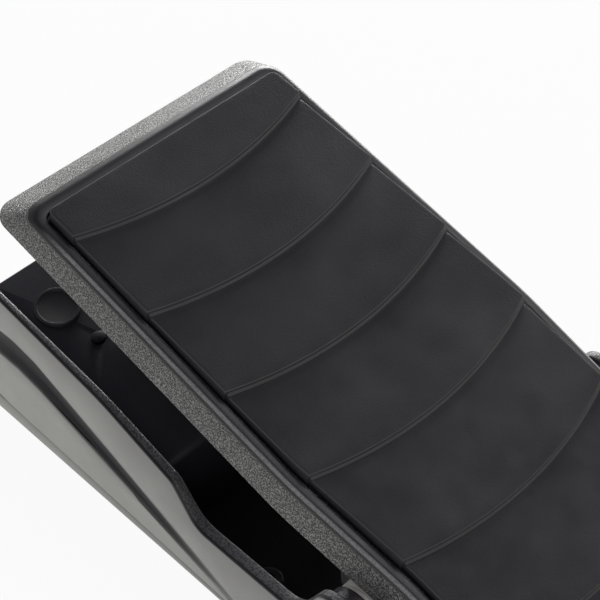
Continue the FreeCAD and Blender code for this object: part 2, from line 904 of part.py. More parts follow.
def make_bottom_cover():
    body = wedge("bottom_cover")
    above = new_sketch(body, "YZ_Plane")
    outline(above, [
        (-past_end, floor_z),
        (size.lip_start_y, floor_z),
        (base_half, floor_z + size.lip_rise),
        (past_end, floor_z + size.lip_rise),
        (past_end, above_all + size.margin),
        (-past_end, above_all + size.margin),
    ])
    pocket(body, above, size.base_width * 2, midplane=True)
    # Tray between the side lips, shut at the toe by a lip and at the heel by the solid floor
    tray = new_sketch(body, "XY_Plane", floor_z)
    tray_toe = base_half - size.wall_thick - 1
    outline(tray, [
        (-side_inner, -base_half + size.margin * 2, size.tray_corner),
        (side_inner, -base_half + size.margin * 2, size.tray_corner),
        (side_inner, tray_toe, size.tray_corner),
        (-side_inner, tray_toe, size.tray_corner),
    ])
    pocket(body, tray, size.lip_rise + 1, reversed_way=True)
    # Bosses that meet the shell's, and standoffs for the circuit board
    doc.recompute()
    added = [rod(body, size.boss_radius - 1, size.lip_rise, cover_screw_x, cover_screw_toe_y,
                 floor_z)]
    for y in (board_toe_y - size.board_hole_inset, board_heel_y + size.board_hole_inset):
        added.append(rod(body, size.standoff_radius, size.board_z - floor_z,
                         board_half - size.board_hole_inset, y, floor_z))
    mirrored(body, added)
    bores = []
    for x, y in cover_screw_places:
        bores.append(rod(body, size.screw_radius + size.screw_clearance, 20, x, y, 0, cut=True))
        bores.append(rod(body, size.screw_head_radius + size.screw_clearance, size.screw_head_thick,
                         x, y, size.foot_proud, cut=True))
    for y in (base_half - size.foot_inset_toe, -base_half + size.foot_inset_heel):
        bores.append(rod(body, size.foot_radius + size.fixed_clearance, size.foot_thick - size.foot_proud,
                         size.base_width / 2 - size.foot_inset_x, y, size.foot_proud, cut=True))
    for y in (board_toe_y - size.board_hole_inset, board_heel_y + size.board_hole_inset):
        bores.append(rod(body, size.screw_radius + size.screw_clearance, size.board_z - floor_z + 1,
                         board_half - size.board_hole_inset, y, floor_z, cut=True))
    mirrored(body, bores)
    for x in bracket_screw_places():
        rod(body, size.screw_radius + size.screw_clearance, 10, x[0], x[1], 0, cut=True)
    body.Tip = body.Group[-1]
    return body


def bracket_screw_places():
    """The two screws of the potentiometer's bracket, one each side of the pot."""
    x = size.bracket_x + size.bracket_thick + size.bracket_foot - size.bracket_screw_inset
    reach = size.bracket_half_width - size.bracket_screw_inset
    return [(x, pinion_y - reach), (x, pinion_y + reach)]


# Small fixed pieces of the base

def make_rubber_feet():
    feet = []
    for x in (size.base_width / 2 - size.foot_inset_x, size.foot_inset_x - size.base_width / 2):
        for y in (base_half - size.foot_inset_toe, -base_half + size.foot_inset_heel):
            feet.append(cylinder(size.foot_radius, size.foot_thick, x, y, 0.0))
    return together(feet, "rubber_feet")


def screw(x, y, head_z, length, head_up):
    """A round-headed screw: its shank leaves the head's flat side."""
    head = cylinder(size.screw_head_radius, size.screw_head_thick, x, y, head_z)
    shank_z = head_z - length if head_up else head_z + size.screw_head_thick
    shank = cylinder(size.screw_radius, length, x, y, shank_z)
    return fused([head, shank])


def make_cover_screws():
    screws = []
    for number, (x, y) in enumerate(cover_screw_places):
        length = size.boss_height - 1 + (size.lip_rise if number == 0 else 0)
        for side in (x, -x):
            screws.append(screw(side, y, size.foot_proud, length, False))
    return together(screws, "cover_screws")


def make_board_screws():
    screws = []
    x = board_half - size.board_hole_inset
    for y in (board_toe_y - size.board_hole_inset, board_heel_y + size.board_hole_inset):
        for side in (x, -x):
            screws.append(screw(side, y, board_top, size.board_z - floor_z, True))
    return together(screws, "board_screws")


def make_bracket_screws():
    top = floor_z + size.bracket_thick
    return together([screw(x, y, top, size.cover_thick, True) for x, y in bracket_screw_places()],
                    "bracket_screws")


def make_toe_pads():
    """Round rubber pads, dished on top, that lie on the sloping deck."""
    pads = []
    for side in (toe_pad_x, -toe_pad_x):
        lift = size.toe_pad_proud * cosine(size.deck_slope)
        shift = size.toe_pad_proud * sine(size.deck_slope)
        deck_z = deck_height(toe_pad_y)
        disc = cylinder(size.toe_pad_radius, size.toe_pad_proud, side, toe_pad_y, deck_z,
                        ALONG_X, size.deck_slope)
        dish_lift = lift - size.toe_pad_dish * cosine(size.deck_slope)
        dish = cylinder(size.toe_pad_radius - size.toe_pad_rim, size.toe_pad_dish + 1, side,
                        toe_pad_y - shift, deck_z + dish_lift, ALONG_X, size.deck_slope)
        pads.append(cut_from(disc, dish))
    return together(pads, "toe_bumper_pads")


def make_heel_pads():
    return together([
        cylinder(size.heel_pad_radius, size.heel_pad_thick, side, -heel_pad_y,
                 size.heel_pad_top_z - size.heel_pad_thick)
        for side in (heel_pad_x, -heel_pad_x)
    ], "heel_bumper_pads")


def make_deck_screws():
    screws = []
    for side in (deck_screw_x, -deck_screw_x):
        head_z = deck_height(deck_screw_y) + size.deck_screw_lift
        head = cylinder(size.deck_screw_head, size.deck_screw_head_thick, side, deck_screw_y, head_z)
        shank = cylinder(size.screw_radius, size.deck_screw_length, side, deck_screw_y,
                         head_z - size.deck_screw_length)
        screws.append(fused([head, shank]))
    return together(screws, "deck_screws")


def tube(outer, inner, length, x, y, z):
    """A hollow rod along X that starts at a point."""
    solid = cylinder(outer, length, x, y, z, ALONG_Y, 90)
    bore = cylinder(inner, length + 2, x - 1, y, z, ALONG_Y, 90)
    return cut_from(solid, bore)


def make_pivot_bushes():
    bushes = []
    bore = size.axle_radius + size.running_clearance
    length = bush_end - boss_inner_x
    flange = boss_inner_x - size.bush_flange_thick
    for sign in (1, -1):
        if sign > 0:
            barrel = cylinder(size.bush_radius, length, boss_inner_x, -size.pivot_y, size.pivot_z,
                              ALONG_Y, 90)
            rim = cylinder(size.bush_flange_radius, size.bush_flange_thick, flange, -size.pivot_y,
                           size.pivot_z, ALONG_Y, 90)
        else:
            barrel = cylinder(size.bush_radius, length, -(boss_inner_x + length), -size.pivot_y,
                              size.pivot_z, ALONG_Y, 90)
            rim = cylinder(size.bush_flange_radius, size.bush_flange_thick, -boss_inner_x,
                           -size.pivot_y, size.pivot_z, ALONG_Y, 90)
        hole = cylinder(bore, size.base_width, -size.base_width / 2, -size.pivot_y, size.pivot_z,
                        ALONG_Y, 90)
        bushes.append(cut_from(fused([barrel, rim]), hole))
    return together(bushes, "pivot_bushes")


def make_friction_washers():
    start = lug_outer + size.washer_clearance
    thick = boss_inner_x - size.bush_flange_thick - start
    bore = size.axle_radius + size.running_clearance
    return together([
        tube(size.bush_flange_radius, bore, thick, start, -size.pivot_y, size.pivot_z),
        tube(size.bush_flange_radius, bore, thick, -(start + thick), -size.pivot_y, size.pivot_z),
    ], "friction_washers")


def make_axle_caps():
    length = cap_edge_x - bush_end
    return together([
        cylinder(size.cap_radius, length, bush_end, -size.pivot_y, size.pivot_z, ALONG_Y, 90),
        cylinder(size.cap_radius, length, -cap_edge_x, -size.pivot_y, size.pivot_z, ALONG_Y, 90),
    ], "axle_caps")


# Treadle frame, in the treadle's own frame

def tread_corners(side_inset, toe_y, heel_y, corner):
    """Waisted outline of the treadle, drawn in from its sides by an inset."""
    toe_half = skirt_half - side_inset
    waist_half = toe_half - size.waist_depth
    heel_half = toe_half - size.heel_narrowing
    right = [
        (heel_half, heel_y, corner),
        (heel_half, -size.waist_end_y, size.waist_round),
        (waist_half, -size.waist_y, size.waist_round),
        (toe_half, size.waist_start_y, size.waist_round),
        (toe_half, toe_y, corner),
    ]
    left = [(-x, y, radius) for x, y, radius in reversed(right)]
    return right + left


def make_treadle_frame():
    body = new_body("treadle_frame")
    # Skirt and bevels from the open bottom edge up to the ridge, then the ridge's soft edge
    height = size.tread_top - size.skirt_bottom
    edge_share = (height - size.ridge_edge) / height
    sketches = []
    for z, share, corner, more in (
        (size.skirt_bottom, Size("0", 0), size.tread_corner, Size("0", 0)),
        (size.tread_top - size.ridge_edge, edge_share, size.tread_corner - 0.8, Size("0", 0)),
        (size.tread_top, Size("1", 1), size.tread_corner - 1.2, size.ridge_edge * 0.6),
    ):
        plan = new_sketch(body, "XY_Plane", z)
        toe_y = tread_toe - size.toe_bevel_run * share - more
        heel_y = -tread_heel + size.heel_bevel_run * share + more
        outline(plan, tread_corners(size.skirt_run * share + more, toe_y, heel_y, corner))
        sketches.append(plan)
    skirt = body.newObject("PartDesign::AdditiveLoft", "Loft")
    skirt.Profile = sketches[0]
    skirt.Sections = sketches[1:]
    skirt.Ruled = True
    # Hollow underside
    hollow = new_sketch(body, "XY_Plane", size.skirt_bottom)
    outline(hollow, tread_corners(size.skirt_thick, tread_toe - size.hollow_toe_inset,
                                  size.hollow_toe_inset - tread_heel - 2, size.tread_corner))
    pocket(body, hollow, size.plate_under - size.skirt_bottom, reversed_way=True)
    # Recess for the mat
    recess = new_sketch(body, "XY_Plane", size.tread_top)
    mat_inset = skirt_half - mat_half - size.mat_gap
    outline(recess, tread_corners(mat_inset, mat_toe + size.mat_gap,
                                  -mat_heel - size.mat_gap, size.mat_corner + size.mat_gap))
    pocket(body, recess, size.mat_recess)
    # Stiffening ribs under the plate
    rib_bottom = size.plate_under - size.rib_depth
    half_rib = size.rib_thick / 2
    start = size.centre_rib_end + size.rib_setback
    for low, high in ((start, tread_toe - size.hollow_toe_inset), (size.mat_heel_inset - tread_heel, -start)):
        for x in (size.rib_x, -size.rib_x):
            block(body, x - half_rib, low, rib_bottom, size.rib_thick, high - low, size.rib_depth + 1)
    cross_half = skirt_half - size.skirt_thick - size.waist_depth
    for y in (mat_toe - size.cross_rib_inset_toe, start, -start, size.cross_rib_inset_heel - mat_heel):
        block(body, -cross_half, y - half_rib, rib_bottom, cross_half * 2, size.rib_thick, size.rib_depth + 1)
    # Pivot lugs
    lug = new_sketch(body, "YZ_Plane", lug_outer - size.lug_thick)
    reach = size.lug_radius
    outline(lug, [
        (size.lug_root, size.plate_under + 1),
        (reach * size.lug_side_share, -reach, reach * size.lug_round_share),
        (-reach * size.lug_side_share, -reach, reach * size.lug_round_share),
        (-size.lug_root, size.plate_under + 1),
    ])
    lug_pad = pad(body, lug, size.lug_thick)
    mirrored(body, [lug_pad])
    # Rib that carries the toothed sector
    rib = new_sketch(body, "YZ_Plane", size.sector_thick / 2)
    rib_low = size.sector_screw_z - size.centre_rib_edge
    outline(rib, box_corners(size.centre_rib_start, rib_low, size.centre_rib_end, size.plate_under + 1))
    pad(body, rib, size.centre_rib_thick)
    # Stops that meet the toe pads and the heel pads
    doc.recompute()
    toe = stop_place(toe_pad_y, deck_height(toe_pad_y) + size.toe_pad_proud,
                     size.rest_tilt - size.tilt_travel)
    heel = stop_place(-heel_pad_y, size.heel_pad_top_z, size.rest_tilt)
    toe_lean = size.deck_slope - size.rest_tilt + size.tilt_travel
    for side in (1, -1):
        rod(body, size.stop_radius, size.plate_under - toe[1], toe_pad_x * side, toe[0],
            toe[1] + size.stop_gap, ALONG_X, toe_lean)
        rod(body, size.stop_radius, size.plate_under - heel[1] + 1, heel_pad_x * side, heel[0],
            heel[1] + size.stop_gap, ALONG_X, -size.rest_tilt)
    # Bores for the axle and the sector's screws
    rod(body, size.axle_radius + size.fixed_clearance, size.base_width, -size.base_width / 2, 0.0, 0.0,
        ALONG_Y, 90, cut=True)
    for y in (size.sector_screw_near, size.sector_screw_far):
        rod(body, size.screw_radius + size.screw_clearance, size.hub_radius, 0.0, y, size.sector_screw_z,
            ALONG_Y, 90, cut=True)
    body.Tip = body.Group[-1]
    return seat_on_pivot(body)


def stop_place(y, z, tilt):
    """A point of the base, as the treadle's own Y and Z when it stands at a tilt."""
    along = y + size.pivot_y
    up = z - size.pivot_z
    return (along * cosine(tilt) + up * sine(tilt), up * cosine(tilt) - along * sine(tilt))


# Rubber mat with overlapping shingles, in the treadle's own frame

def make_tread_mat():
    body = new_body("tread_mat")
    bottom = size.tread_top - size.mat_recess
    plan = new_sketch(body, "XY_Plane", bottom)
    outline(plan, tread_corners(skirt_half - mat_half, mat_toe, -mat_heel, size.mat_corner))
    pad(body, plan, size.shingle_top + 1 - bottom)
    # One shingle's cut: the space above a plane that rises to the heel, between two bowed edges
    half = mat_half
    bow_radius = (half * half + size.shingle_bow * size.shingle_bow) / (size.shingle_bow * 2)
    slope = math.degrees(math.atan(float(size.shingle_step) / float(size.shingle_pitch)))
    sketch = new_sketch(body, "XY_Plane")
    top = size.shingle_top
    slope_size = Size("atan(Sizes.shingle_step / Sizes.shingle_pitch)", slope)
    sketch.AttachmentOffset = Placement(Vector(0, float(shingle_first_y), float(top)),
                                        Rotation(ALONG_X, -slope))
    bind(sketch, "AttachmentOffset.Base.y", shingle_first_y)
    bind(sketch, "AttachmentOffset.Base.z", top)
    bind(sketch, "AttachmentOffset.Rotation.Angle", -slope_size)
    stretch = size.shingle_pitch / cosine(slope_size)
    wide = half + 2
    wide_sag = bow_radius - root(bow_radius * bow_radius - wide * wide)
    middle_y = -size.shingle_bow
    edge_y = middle_y + wide_sag
    arcs = []
    for shift in (0.0, stretch):
        low = Vector(-float(wide), float(edge_y + shift), 0)
        mid = Vector(0, float(middle_y + shift), 0)
        high = Vector(float(wide), float(edge_y + shift), 0)
        arc = sketch.addGeometry(Part.Arc(low, mid, high))
        arcs.append((arc, shift))
    sides = [
        sketch.addGeometry(Part.LineSegment(Vector(sign * float(wide), float(edge_y), 0),
                                            Vector(sign * float(wide), float(edge_y + stretch), 0)))
        for sign in (-1, 1)
    ]
    rules = []
    for end, (arc, shift) in enumerate(arcs, start=1):
        curve = sketch.Geometry[arc]
        left = 1 if curve.StartPoint.x < curve.EndPoint.x else 2
        rules += point_rules(arc, left, -wide, edge_y + shift)
        rules += [
            (Sketcher.Constraint("Coincident", arc, left, sides[0], end), None),
            (Sketcher.Constraint("Coincident", arc, 3 - left, sides[1], end), None),
            *point_rules(arc, 3 - left, wide, edge_y + shift),
            radius_rule(arc, bow_radius),
        ]
    apply_rules(sketch, rules)
    cut = pocket(body, sketch, 6, reversed_way=True)
    doc.recompute()
    count = int((float(shingle_first_y) + float(mat_heel)) / float(size.shingle_pitch)) + 2
    pattern = body.newObject("PartDesign::LinearPattern", "Shingles")
    pattern.Originals = [cut]
    pattern.Direction = (plane_of(body, "XZ_Plane"), [""])
    pattern.Reversed = False
    bind(pattern, "Length", size.shingle_pitch * (count - 1))
    pattern.Occurrences = count
    body.Tip = pattern
    doc.recompute()
    return seat_on_pivot(body)


def root(value):
    return Size(f"sqrt({value.text})", math.sqrt(float(value)))


# Axle and clips

def make_pivot_axle():
    shape = cylinder(size.axle_radius, axle_half * 2, -axle_half, -size.pivot_y, size.pivot_z,
                     ALONG_Y, 90)
    shape.Label = "pivot_axle"
    return shape


def make_axle_clips():
    """Open spring clips that sit on the axle just inside the lugs."""
    clips = []
    inner = lug_outer - size.lug_thick
    thick = size.clip_thick
    for start in (inner - thick - size.washer_clearance, size.washer_clearance - inner):
        clip = tube(size.clip_radius, size.axle_radius + size.fixed_clearance, thick, start, -size.pivot_y,
                    size.pivot_z)
        mouth = cuboid(start - thick, -size.pivot_y - size.clip_mouth / 2,
                       size.pivot_z - size.clip_radius * 1.5, thick * 3, size.clip_mouth,
                       size.clip_radius * 1.5)
        clips.append(cut_from(clip, mouth))
    return together(clips, "axle_clips")


# Gears

def involute_flank(base_radius, radius):
    """Angle in radians that an involute has turned at a radius."""
    ratio = max(1.0, radius / base_radius)
    lean = math.acos(1 / ratio)
    return math.tan(lean) - lean


def tooth_points(teeth, number_of_steps=4):
    """One tooth as (radius, angle from its middle), root to tip on the right flank."""
    module = float(size.gear_module)
    pressure = math.radians(float(size.pressure_angle))
    pitch_radius = module * teeth / 2
    base_radius = pitch_radius * math.cos(pressure)
    root_radius = pitch_radius - 1.2 * module
    tip_radius = pitch_radius + 0.95 * module
    half = math.pi / (2 * teeth) - float(size.tooth_backlash) / (4 * pitch_radius)
    at_pitch = involute_flank(base_radius, pitch_radius)
    low = max(root_radius, base_radius)
    points = []
    if root_radius < low:
        points.append((root_radius, half + at_pitch))
    for step in range(number_of_steps + 1):
        radius = low + (tip_radius - low) * step / number_of_steps
        points.append((radius, half + at_pitch - involute_flank(base_radius, radius)))
    return points


def polar(radius, angle):
    return Vector(0, radius * math.cos(angle), radius * math.sin(angle))


def gear_edge(teeth, first_angle, count):
    """Points along a run of teeth about X, from below the first tooth to past the last."""
    right = tooth_points(teeth)
    pitch = 2 * math.pi / teeth
    points = []
    for number in range(count):
        middle = first_angle + number * pitch
        points += [polar(radius, middle - angle) for radius, angle in right]
        points += [polar(radius, middle + angle) for radius, angle in reversed(right)]
    return points


def make_drive_sector():
    """Toothed plate about the axle, screwed to the treadle's centre rib."""
    teeth = int(float(size.sector_teeth))
    pitch = 2 * math.pi / teeth
    tilt = float(size.rest_tilt)
    mesh = -float(size.mesh_angle) - tilt
    past = math.ceil(math.radians(float(size.tilt_travel) + float(size.sector_margin)) / pitch)
    before = math.ceil(math.radians(float(size.sector_margin)) / pitch)
    first = math.radians(mesh) - before * pitch
    points = gear_edge(teeth, first, before + past + 1)
    back = float(size.sector_back)
    shoulder = float(size.sector_shoulder)
    top = float(size.sector_top)
    rib_end = float(size.centre_rib_end)
    cheek = points[0] * float(size.sector_cheek_share)
    plate = [
        Vector(0, -back, -shoulder), cheek - Vector(0, shoulder / 2, shoulder), *points,
        Vector(0, rib_end + shoulder / 2, shoulder), Vector(0, rib_end, top),
        Vector(0, shoulder, top), Vector(0, -back, shoulder),
    ]
    wire = Part.makePolygon([*plate, plate[0]])
    thick = float(size.sector_thick)
    body = Part.Face(wire).extrude(Vector(thick, 0, 0))
    body.translate(Vector(-thick / 2, 0, 0))
    hub_half = float(size.hub_half)
    hub = Part.makeCylinder(float(size.hub_radius), hub_half * 2, Vector(-hub_half, 0, 0), ALONG_X)
    body = body.fuse(hub)
    bore = float(size.axle_radius + size.fixed_clearance)
    body = body.cut(Part.makeCylinder(bore, 40, Vector(-20, 0, 0), ALONG_X))
    pilot = float(size.screw_radius + size.screw_clearance)
    for y in (size.sector_screw_near, size.sector_screw_far):
        place = Vector(-5, float(y), float(size.sector_screw_z))
        body = body.cut(Part.makeCylinder(pilot, 20, place, ALONG_X))
    window = polar(float(gear_distance * size.sector_window_share),
                   math.radians(mesh + float(size.tilt_travel) / 2))
    body = body.cut(Part.makeCylinder(float(size.sector_window_radius), 20, window - Vector(10, 0, 0),
                                      ALONG_X))
    sector = doc.addObject("Part::Feature", "drive_sector")
    sector.Label = "drive_sector"
    sector.Shape = body.removeSplitter()
    return seat_on_pivot(sector)


def make_sector_screws():
    screws = []
    for y in (size.sector_screw_near, size.sector_screw_far):
        head_x = -size.sector_thick / 2 - size.screw_head_thick
        head = cylinder(size.screw_head_radius, size.screw_head_thick, head_x, y, size.sector_screw_z,
                        ALONG_Y, 90)
        shank = cylinder(size.screw_radius, size.sector_thick + 2.5, -size.sector_thick / 2, y,
                         size.sector_screw_z, ALONG_Y, 90)
        screws.append(fused([head, shank]))
    return seat_on_pivot(together(screws, "sector_screws"))


def make_pot_pinion():
    teeth = int(float(size.pinion_teeth))
    pitch = 2 * math.pi / teeth
    facing = math.radians(180 - float(size.mesh_angle))
    points = gear_edge(teeth, facing + pitch / 2, teeth)
    wire = Part.makePolygon([*points, points[0]])
    half = float(size.pinion_half)
    body = Part.Face(wire).extrude(Vector(half * 2, 0, 0))
    body.translate(Vector(-half, 0, 0))
    bore = Part.makeCylinder(float(size.spindle_radius + size.fixed_clearance), 40, Vector(-20, 0, 0),
                             ALONG_X)
    pinion = doc.addObject("Part::Feature", "pot_pinion")
    pinion.Label = "pot_pinion"
    pinion.Shape = body.cut(bore)
    return put(pinion, 0.0, pinion_y, pinion_z)


# Drive potentiometer

def make_pot_body():
    start = size.bracket_x + size.bracket_thick
    case = cylinder(size.pot_radius, size.pot_length, start, pinion_y, pinion_z, ALONG_Y, 90)
    neck_length = start - size.pot_bush_end_x
    neck = cylinder(size.pot_bush_radius, neck_length, size.pot_bush_end_x, pinion_y, pinion_z, ALONG_Y, 90)
    lugs = []
    lead_x = start + size.pot_length / 2
    for step in (-1, 0, 1):
        lugs.append(cuboid(lead_x + step * size.lead_pitch - size.solder_lug_width / 2,
                           pinion_y + size.pot_radius - 1, pinion_z - size.lead_lift,
                           size.solder_lug_width, size.solder_lug_length, size.lead_lift * 2))
    solid = fused([case, neck, *lugs])
    depth = size.pot_length * 0.75 + neck_length
    bore = cylinder(size.spindle_radius + size.running_clearance, depth + 1, size.pot_bush_end_x - 1,
                    pinion_y, pinion_z, ALONG_Y, 90)
    return cut_from(solid, bore, "drive_pot_body")


def make_pot_spindle():
    start = size.bracket_x + size.bracket_thick
    end = start + size.pot_length * 0.75 - size.end_play
    shape = cylinder(size.spindle_radius, end + size.spindle_end_x, -size.spindle_end_x, pinion_y,
                     pinion_z, ALONG_Y, 90)
    shape.Label = "pot_spindle"
    return shape


def make_pot_nut():
    nut = hexagon(size.nut_flats, size.nut_thick, size.bracket_x - size.nut_thick, pinion_y, pinion_z,
                  ALONG_Y, 90)
    bore = cylinder(size.pot_bush_radius + size.fixed_clearance, 10, 0.0, pinion_y, pinion_z, ALONG_Y, 90)
    return cut_from(nut, bore, "drive_pot_nut")


def make_pot_bracket():
    """Bent steel angle: an upright that holds the pot and a foot screwed to the cover."""
    y_low = pinion_y - size.bracket_half_width
    top = pinion_z + size.bracket_top
    upright = cuboid(size.bracket_x, y_low, floor_z, size.bracket_thick, size.bracket_half_width * 2,
                     top - floor_z)
    foot = cuboid(size.bracket_x, y_low, floor_z, size.bracket_thick + size.bracket_foot,
                  size.bracket_half_width * 2, size.bracket_thick)
    holes = [cylinder(size.pot_bush_radius + size.fixed_clearance, 10, size.bracket_x - 2, pinion_y,
                      pinion_z, ALONG_Y, 90)]
    for x, y in bracket_screw_places():
        holes.append(cylinder(size.screw_radius + size.screw_clearance, 10, x, y, floor_z - 2))
    return cut_from(fused([upright, foot]), fused(holes), "pot_bracket")


# Circuit board, jack, range pot, switch and leads

def make_circuit_board():
    board = cuboid(-board_half, board_heel_y, size.board_z, board_half * 2,
                   size.board_length, size.board_thick)
    holes = []
    x = board_half - size.board_hole_inset
    for y in (board_toe_y - size.board_hole_inset, board_heel_y + size.board_hole_inset):
        for side in (x, -x):
            holes.append(cylinder(size.screw_radius + size.screw_clearance, 6, side, y, size.board_z - 2))
    return cut_from(board, fused(holes), "circuit_board")


def panel_cylinder(radius, start_y, length, x):
    """A round rod that runs from the panel towards the toe."""
    return cylinder(radius, length, x, start_y, size.control_z, ALONG_X, -90)


def make_jack_body():
    height = (size.control_z - board_top) * 2
    case = cuboid(-control_x - size.jack_body_width / 2, panel_back - size.jack_body_length, board_top,
                  size.jack_body_width, size.jack_body_length, height)
    mouth_y = panel_y + size.jack_nose_length
    nose = panel_cylinder(size.jack_nose_radius, panel_back - 1, mouth_y - panel_back + 1, -control_x)
    bore = panel_cylinder(size.jack_bore_radius, mouth_y - size.jack_bore_depth, size.jack_bore_depth + 1,
                          -control_x)
    return cut_from(fused([case, nose]), bore, "jack_body")


def panel_nut(flats, bore_radius, x, label):
    nut = hexagon(flats, size.nut_thick, x, panel_y, size.control_z, ALONG_X, -90)
    bore = panel_cylinder(bore_radius + size.fixed_clearance, panel_y - 2, 10, x)
    return cut_from(nut, bore, label)


def make_range_pot_body():
    height = (size.control_z - board_top) * 2
    case = cuboid(control_x - size.range_body_width / 2, panel_back - size.range_body_length,
                  board_top, size.range_body_width, size.range_body_length, height)
    bush_end = panel_y + size.range_bush_length
    bush = panel_cylinder(size.pot_bush_radius, panel_back - 1, bush_end - panel_back + 1, control_x)
    bore = panel_cylinder(size.range_spindle_radius + size.running_clearance,
                          panel_back - size.range_spindle_reach - size.end_play, size.range_body_length * 3,
                          control_x)
    return cut_from(fused([case, bush]), bore, "range_pot_body")


def make_range_spindle():
    start = panel_back - size.range_spindle_reach
    shape = panel_cylinder(size.range_spindle_radius, start, knob_end_y - size.spindle_setback - start,
                           control_x)
    shape.Label = "range_spindle"
    return shape


def make_range_knob():
    """Fluted cap with a pointer line, pressed on the range spindle."""
    start = knob_start_y
    cap = panel_cylinder(size.knob_radius, start, knob_end_y - start, control_x)
    cuts = [panel_cylinder(size.range_spindle_radius + size.fixed_clearance, start - 1,
                           knob_end_y - start - size.knob_top, control_x)]
    hollow = panel_cylinder(size.knob_radius - size.knob_wall - size.flute_radius, start - 1,
                            size.range_bush_length - size.nut_thick + size.knob_wall, control_x)
    cuts.append(hollow)
    flutes = int(float(size.knob_flutes))
    for number in range(flutes):
        angle = math.radians(360 * (number + 0.5) / flutes)
        cuts.append(cylinder(size.flute_radius, size.knob_length,
                             control_x + size.knob_radius * math.cos(angle), start + size.knob_wall,
                             size.control_z + size.knob_radius * math.sin(angle), ALONG_X, -90))
    cuts.append(cuboid(control_x - size.pointer_width / 2, knob_end_y - size.pointer_depth, size.control_z,
                       size.pointer_width, size.pointer_depth + 1, size.knob_radius + 1))
    return cut_from(cap, fused(cuts), "range_knob")


def make_switch_body():
    case = cuboid(-size.switch_width / 2, panel_back - size.switch_length, board_top, size.switch_width,
                  size.switch_length, size.switch_height)
    slot_width = size.slider_size + size.slider_travel + size.slot_clearance * 2
    slot_height = size.slider_size + size.slot_clearance * 2
    slot = cuboid(-slot_width / 2, panel_back - size.slider_reach, size.control_z - slot_height / 2,
                  slot_width, size.switch_length, slot_height)
    return cut_from(case, slot, "polarity_switch_body")


def make_polarity_slider():
    """The switch's lever, at the end of its slot that the resting part shows."""
    start = panel_back - size.slider_reach + size.slot_clearance
    shape = cuboid(-(size.slider_size + size.slider_travel) / 2, start, size.control_z - size.slider_size / 2,
                   size.slider_size, panel_y + size.slider_proud - start, size.slider_size)
    shape.Label = "polarity_slider"
    return shape


def lead_start_y():
    return pinion_y + size.pot_radius + 2


def lead_socket_y():
    return board_heel_y + size.lead_socket_y


def make_lead_socket():
    lead_x = size.bracket_x + size.bracket_thick + size.pot_length / 2
    width = size.lead_pitch * 2 + size.lead_socket_size
    shape = cuboid(lead_x - width / 2, lead_socket_y() - size.lead_socket_size / 2, board_top, width,
                   size.lead_socket_size, size.lead_socket_size - 1)
    shape.Label = "lead_socket"
    return shape


def make_pot_leads():
    """Three wires from the pot's lugs, level through the cross wall and down to their socket."""
    radius = float(size.lead_radius)
    bend = float(size.lead_bend)
    top = float(pinion_z)
    start = float(lead_start_y())
    end = float(lead_socket_y())
    low = float(board_top + size.lead_socket_size - 1)
    middle_x = float(size.bracket_x + size.bracket_thick + size.pot_length / 2)
    solids = []
    for step in (-1, 0, 1):
        x = middle_x + step * float(size.lead_pitch)
        level = top + radius + float(size.lead_lift)
        first = Part.LineSegment(Vector(x, start, level), Vector(x, end - bend, level))
        corner = bend * (1 - math.sqrt(0.5))
        arc = Part.Arc(Vector(x, end - bend, level), Vector(x, end - corner, level - corner),
                       Vector(x, end, level - bend))
        second = Part.LineSegment(Vector(x, end, level - bend), Vector(x, end, low))
        path = Part.Wire([first.toShape(), arc.toShape(), second.toShape()])
        section = Part.Wire([Part.Circle(Vector(x, start, level), ALONG_Y, radius).toShape()])
        solids.append(path.makePipeShell([section], True, False))
    leads = doc.addObject("Part::Feature", "pot_leads")
    leads.Label = "pot_leads"
    leads.Shape = Part.makeCompound(solids)
    return leads


PARTS = [
    make_base_shell(),
    make_deck_plate(),
    make_control_panel(),
    make_bottom_cover(),
    make_rubber_feet(),
    make_cover_screws(),
    make_toe_pads(),
    make_heel_pads(),
    make_deck_screws(),
    make_pivot_bushes(),
    make_friction_washers(),
    make_axle_caps(),
    make_pot_bracket(),
    make_bracket_screws(),
    make_pot_body(),
    make_pot_nut(),
    make_circuit_board(),
    make_board_screws(),
    make_jack_body(),
    panel_nut(size.jack_nut_flats, size.jack_nose_radius, -control_x, "jack_nut"),
    make_range_pot_body(),
    panel_nut(size.nut_flats, size.pot_bush_radius, control_x, "range_pot_nut"),
    make_switch_body(),
    make_lead_socket(),
    make_pot_leads(),
    make_treadle_frame(),
    make_tread_mat(),
    make_pivot_axle(),
    make_axle_clips(),
    make_drive_sector(),
    make_sector_screws(),
    make_pot_spindle(),
    make_pot_pinion(),
    make_range_spindle(),
    make_range_knob(),
    make_polarity_slider(),
]

doc.recompute()
for item in doc.Objects:
    if "Invalid" in item.State or "Error" in item.State:
        raise ValueError(f"{item.Label} failed to compute: {item.State}")
for part in PARTS:
    shape = part.Shape
    if shape.isNull() or not shape.isValid() or not shape.Solids:
        raise ValueError(f"{part.Label} has no valid solid")
    shape.exportStep(f"parts/{part.Label}.step")
    box = shape.BoundBox
    print(f"{part.Label}: {len(shape.Solids)} solids, {shape.Volume:.0f} mm3,"
          f" X {box.XMin:.1f}..{box.XMax:.1f}, Y {box.YMin:.1f}..{box.YMax:.1f},"
          f" Z {box.ZMin:.1f}..{box.ZMax:.1f}")
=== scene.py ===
import json
from math import cos, radians, sin, sqrt, tan

import bmesh
import bpy
from mathutils import Matrix, Vector

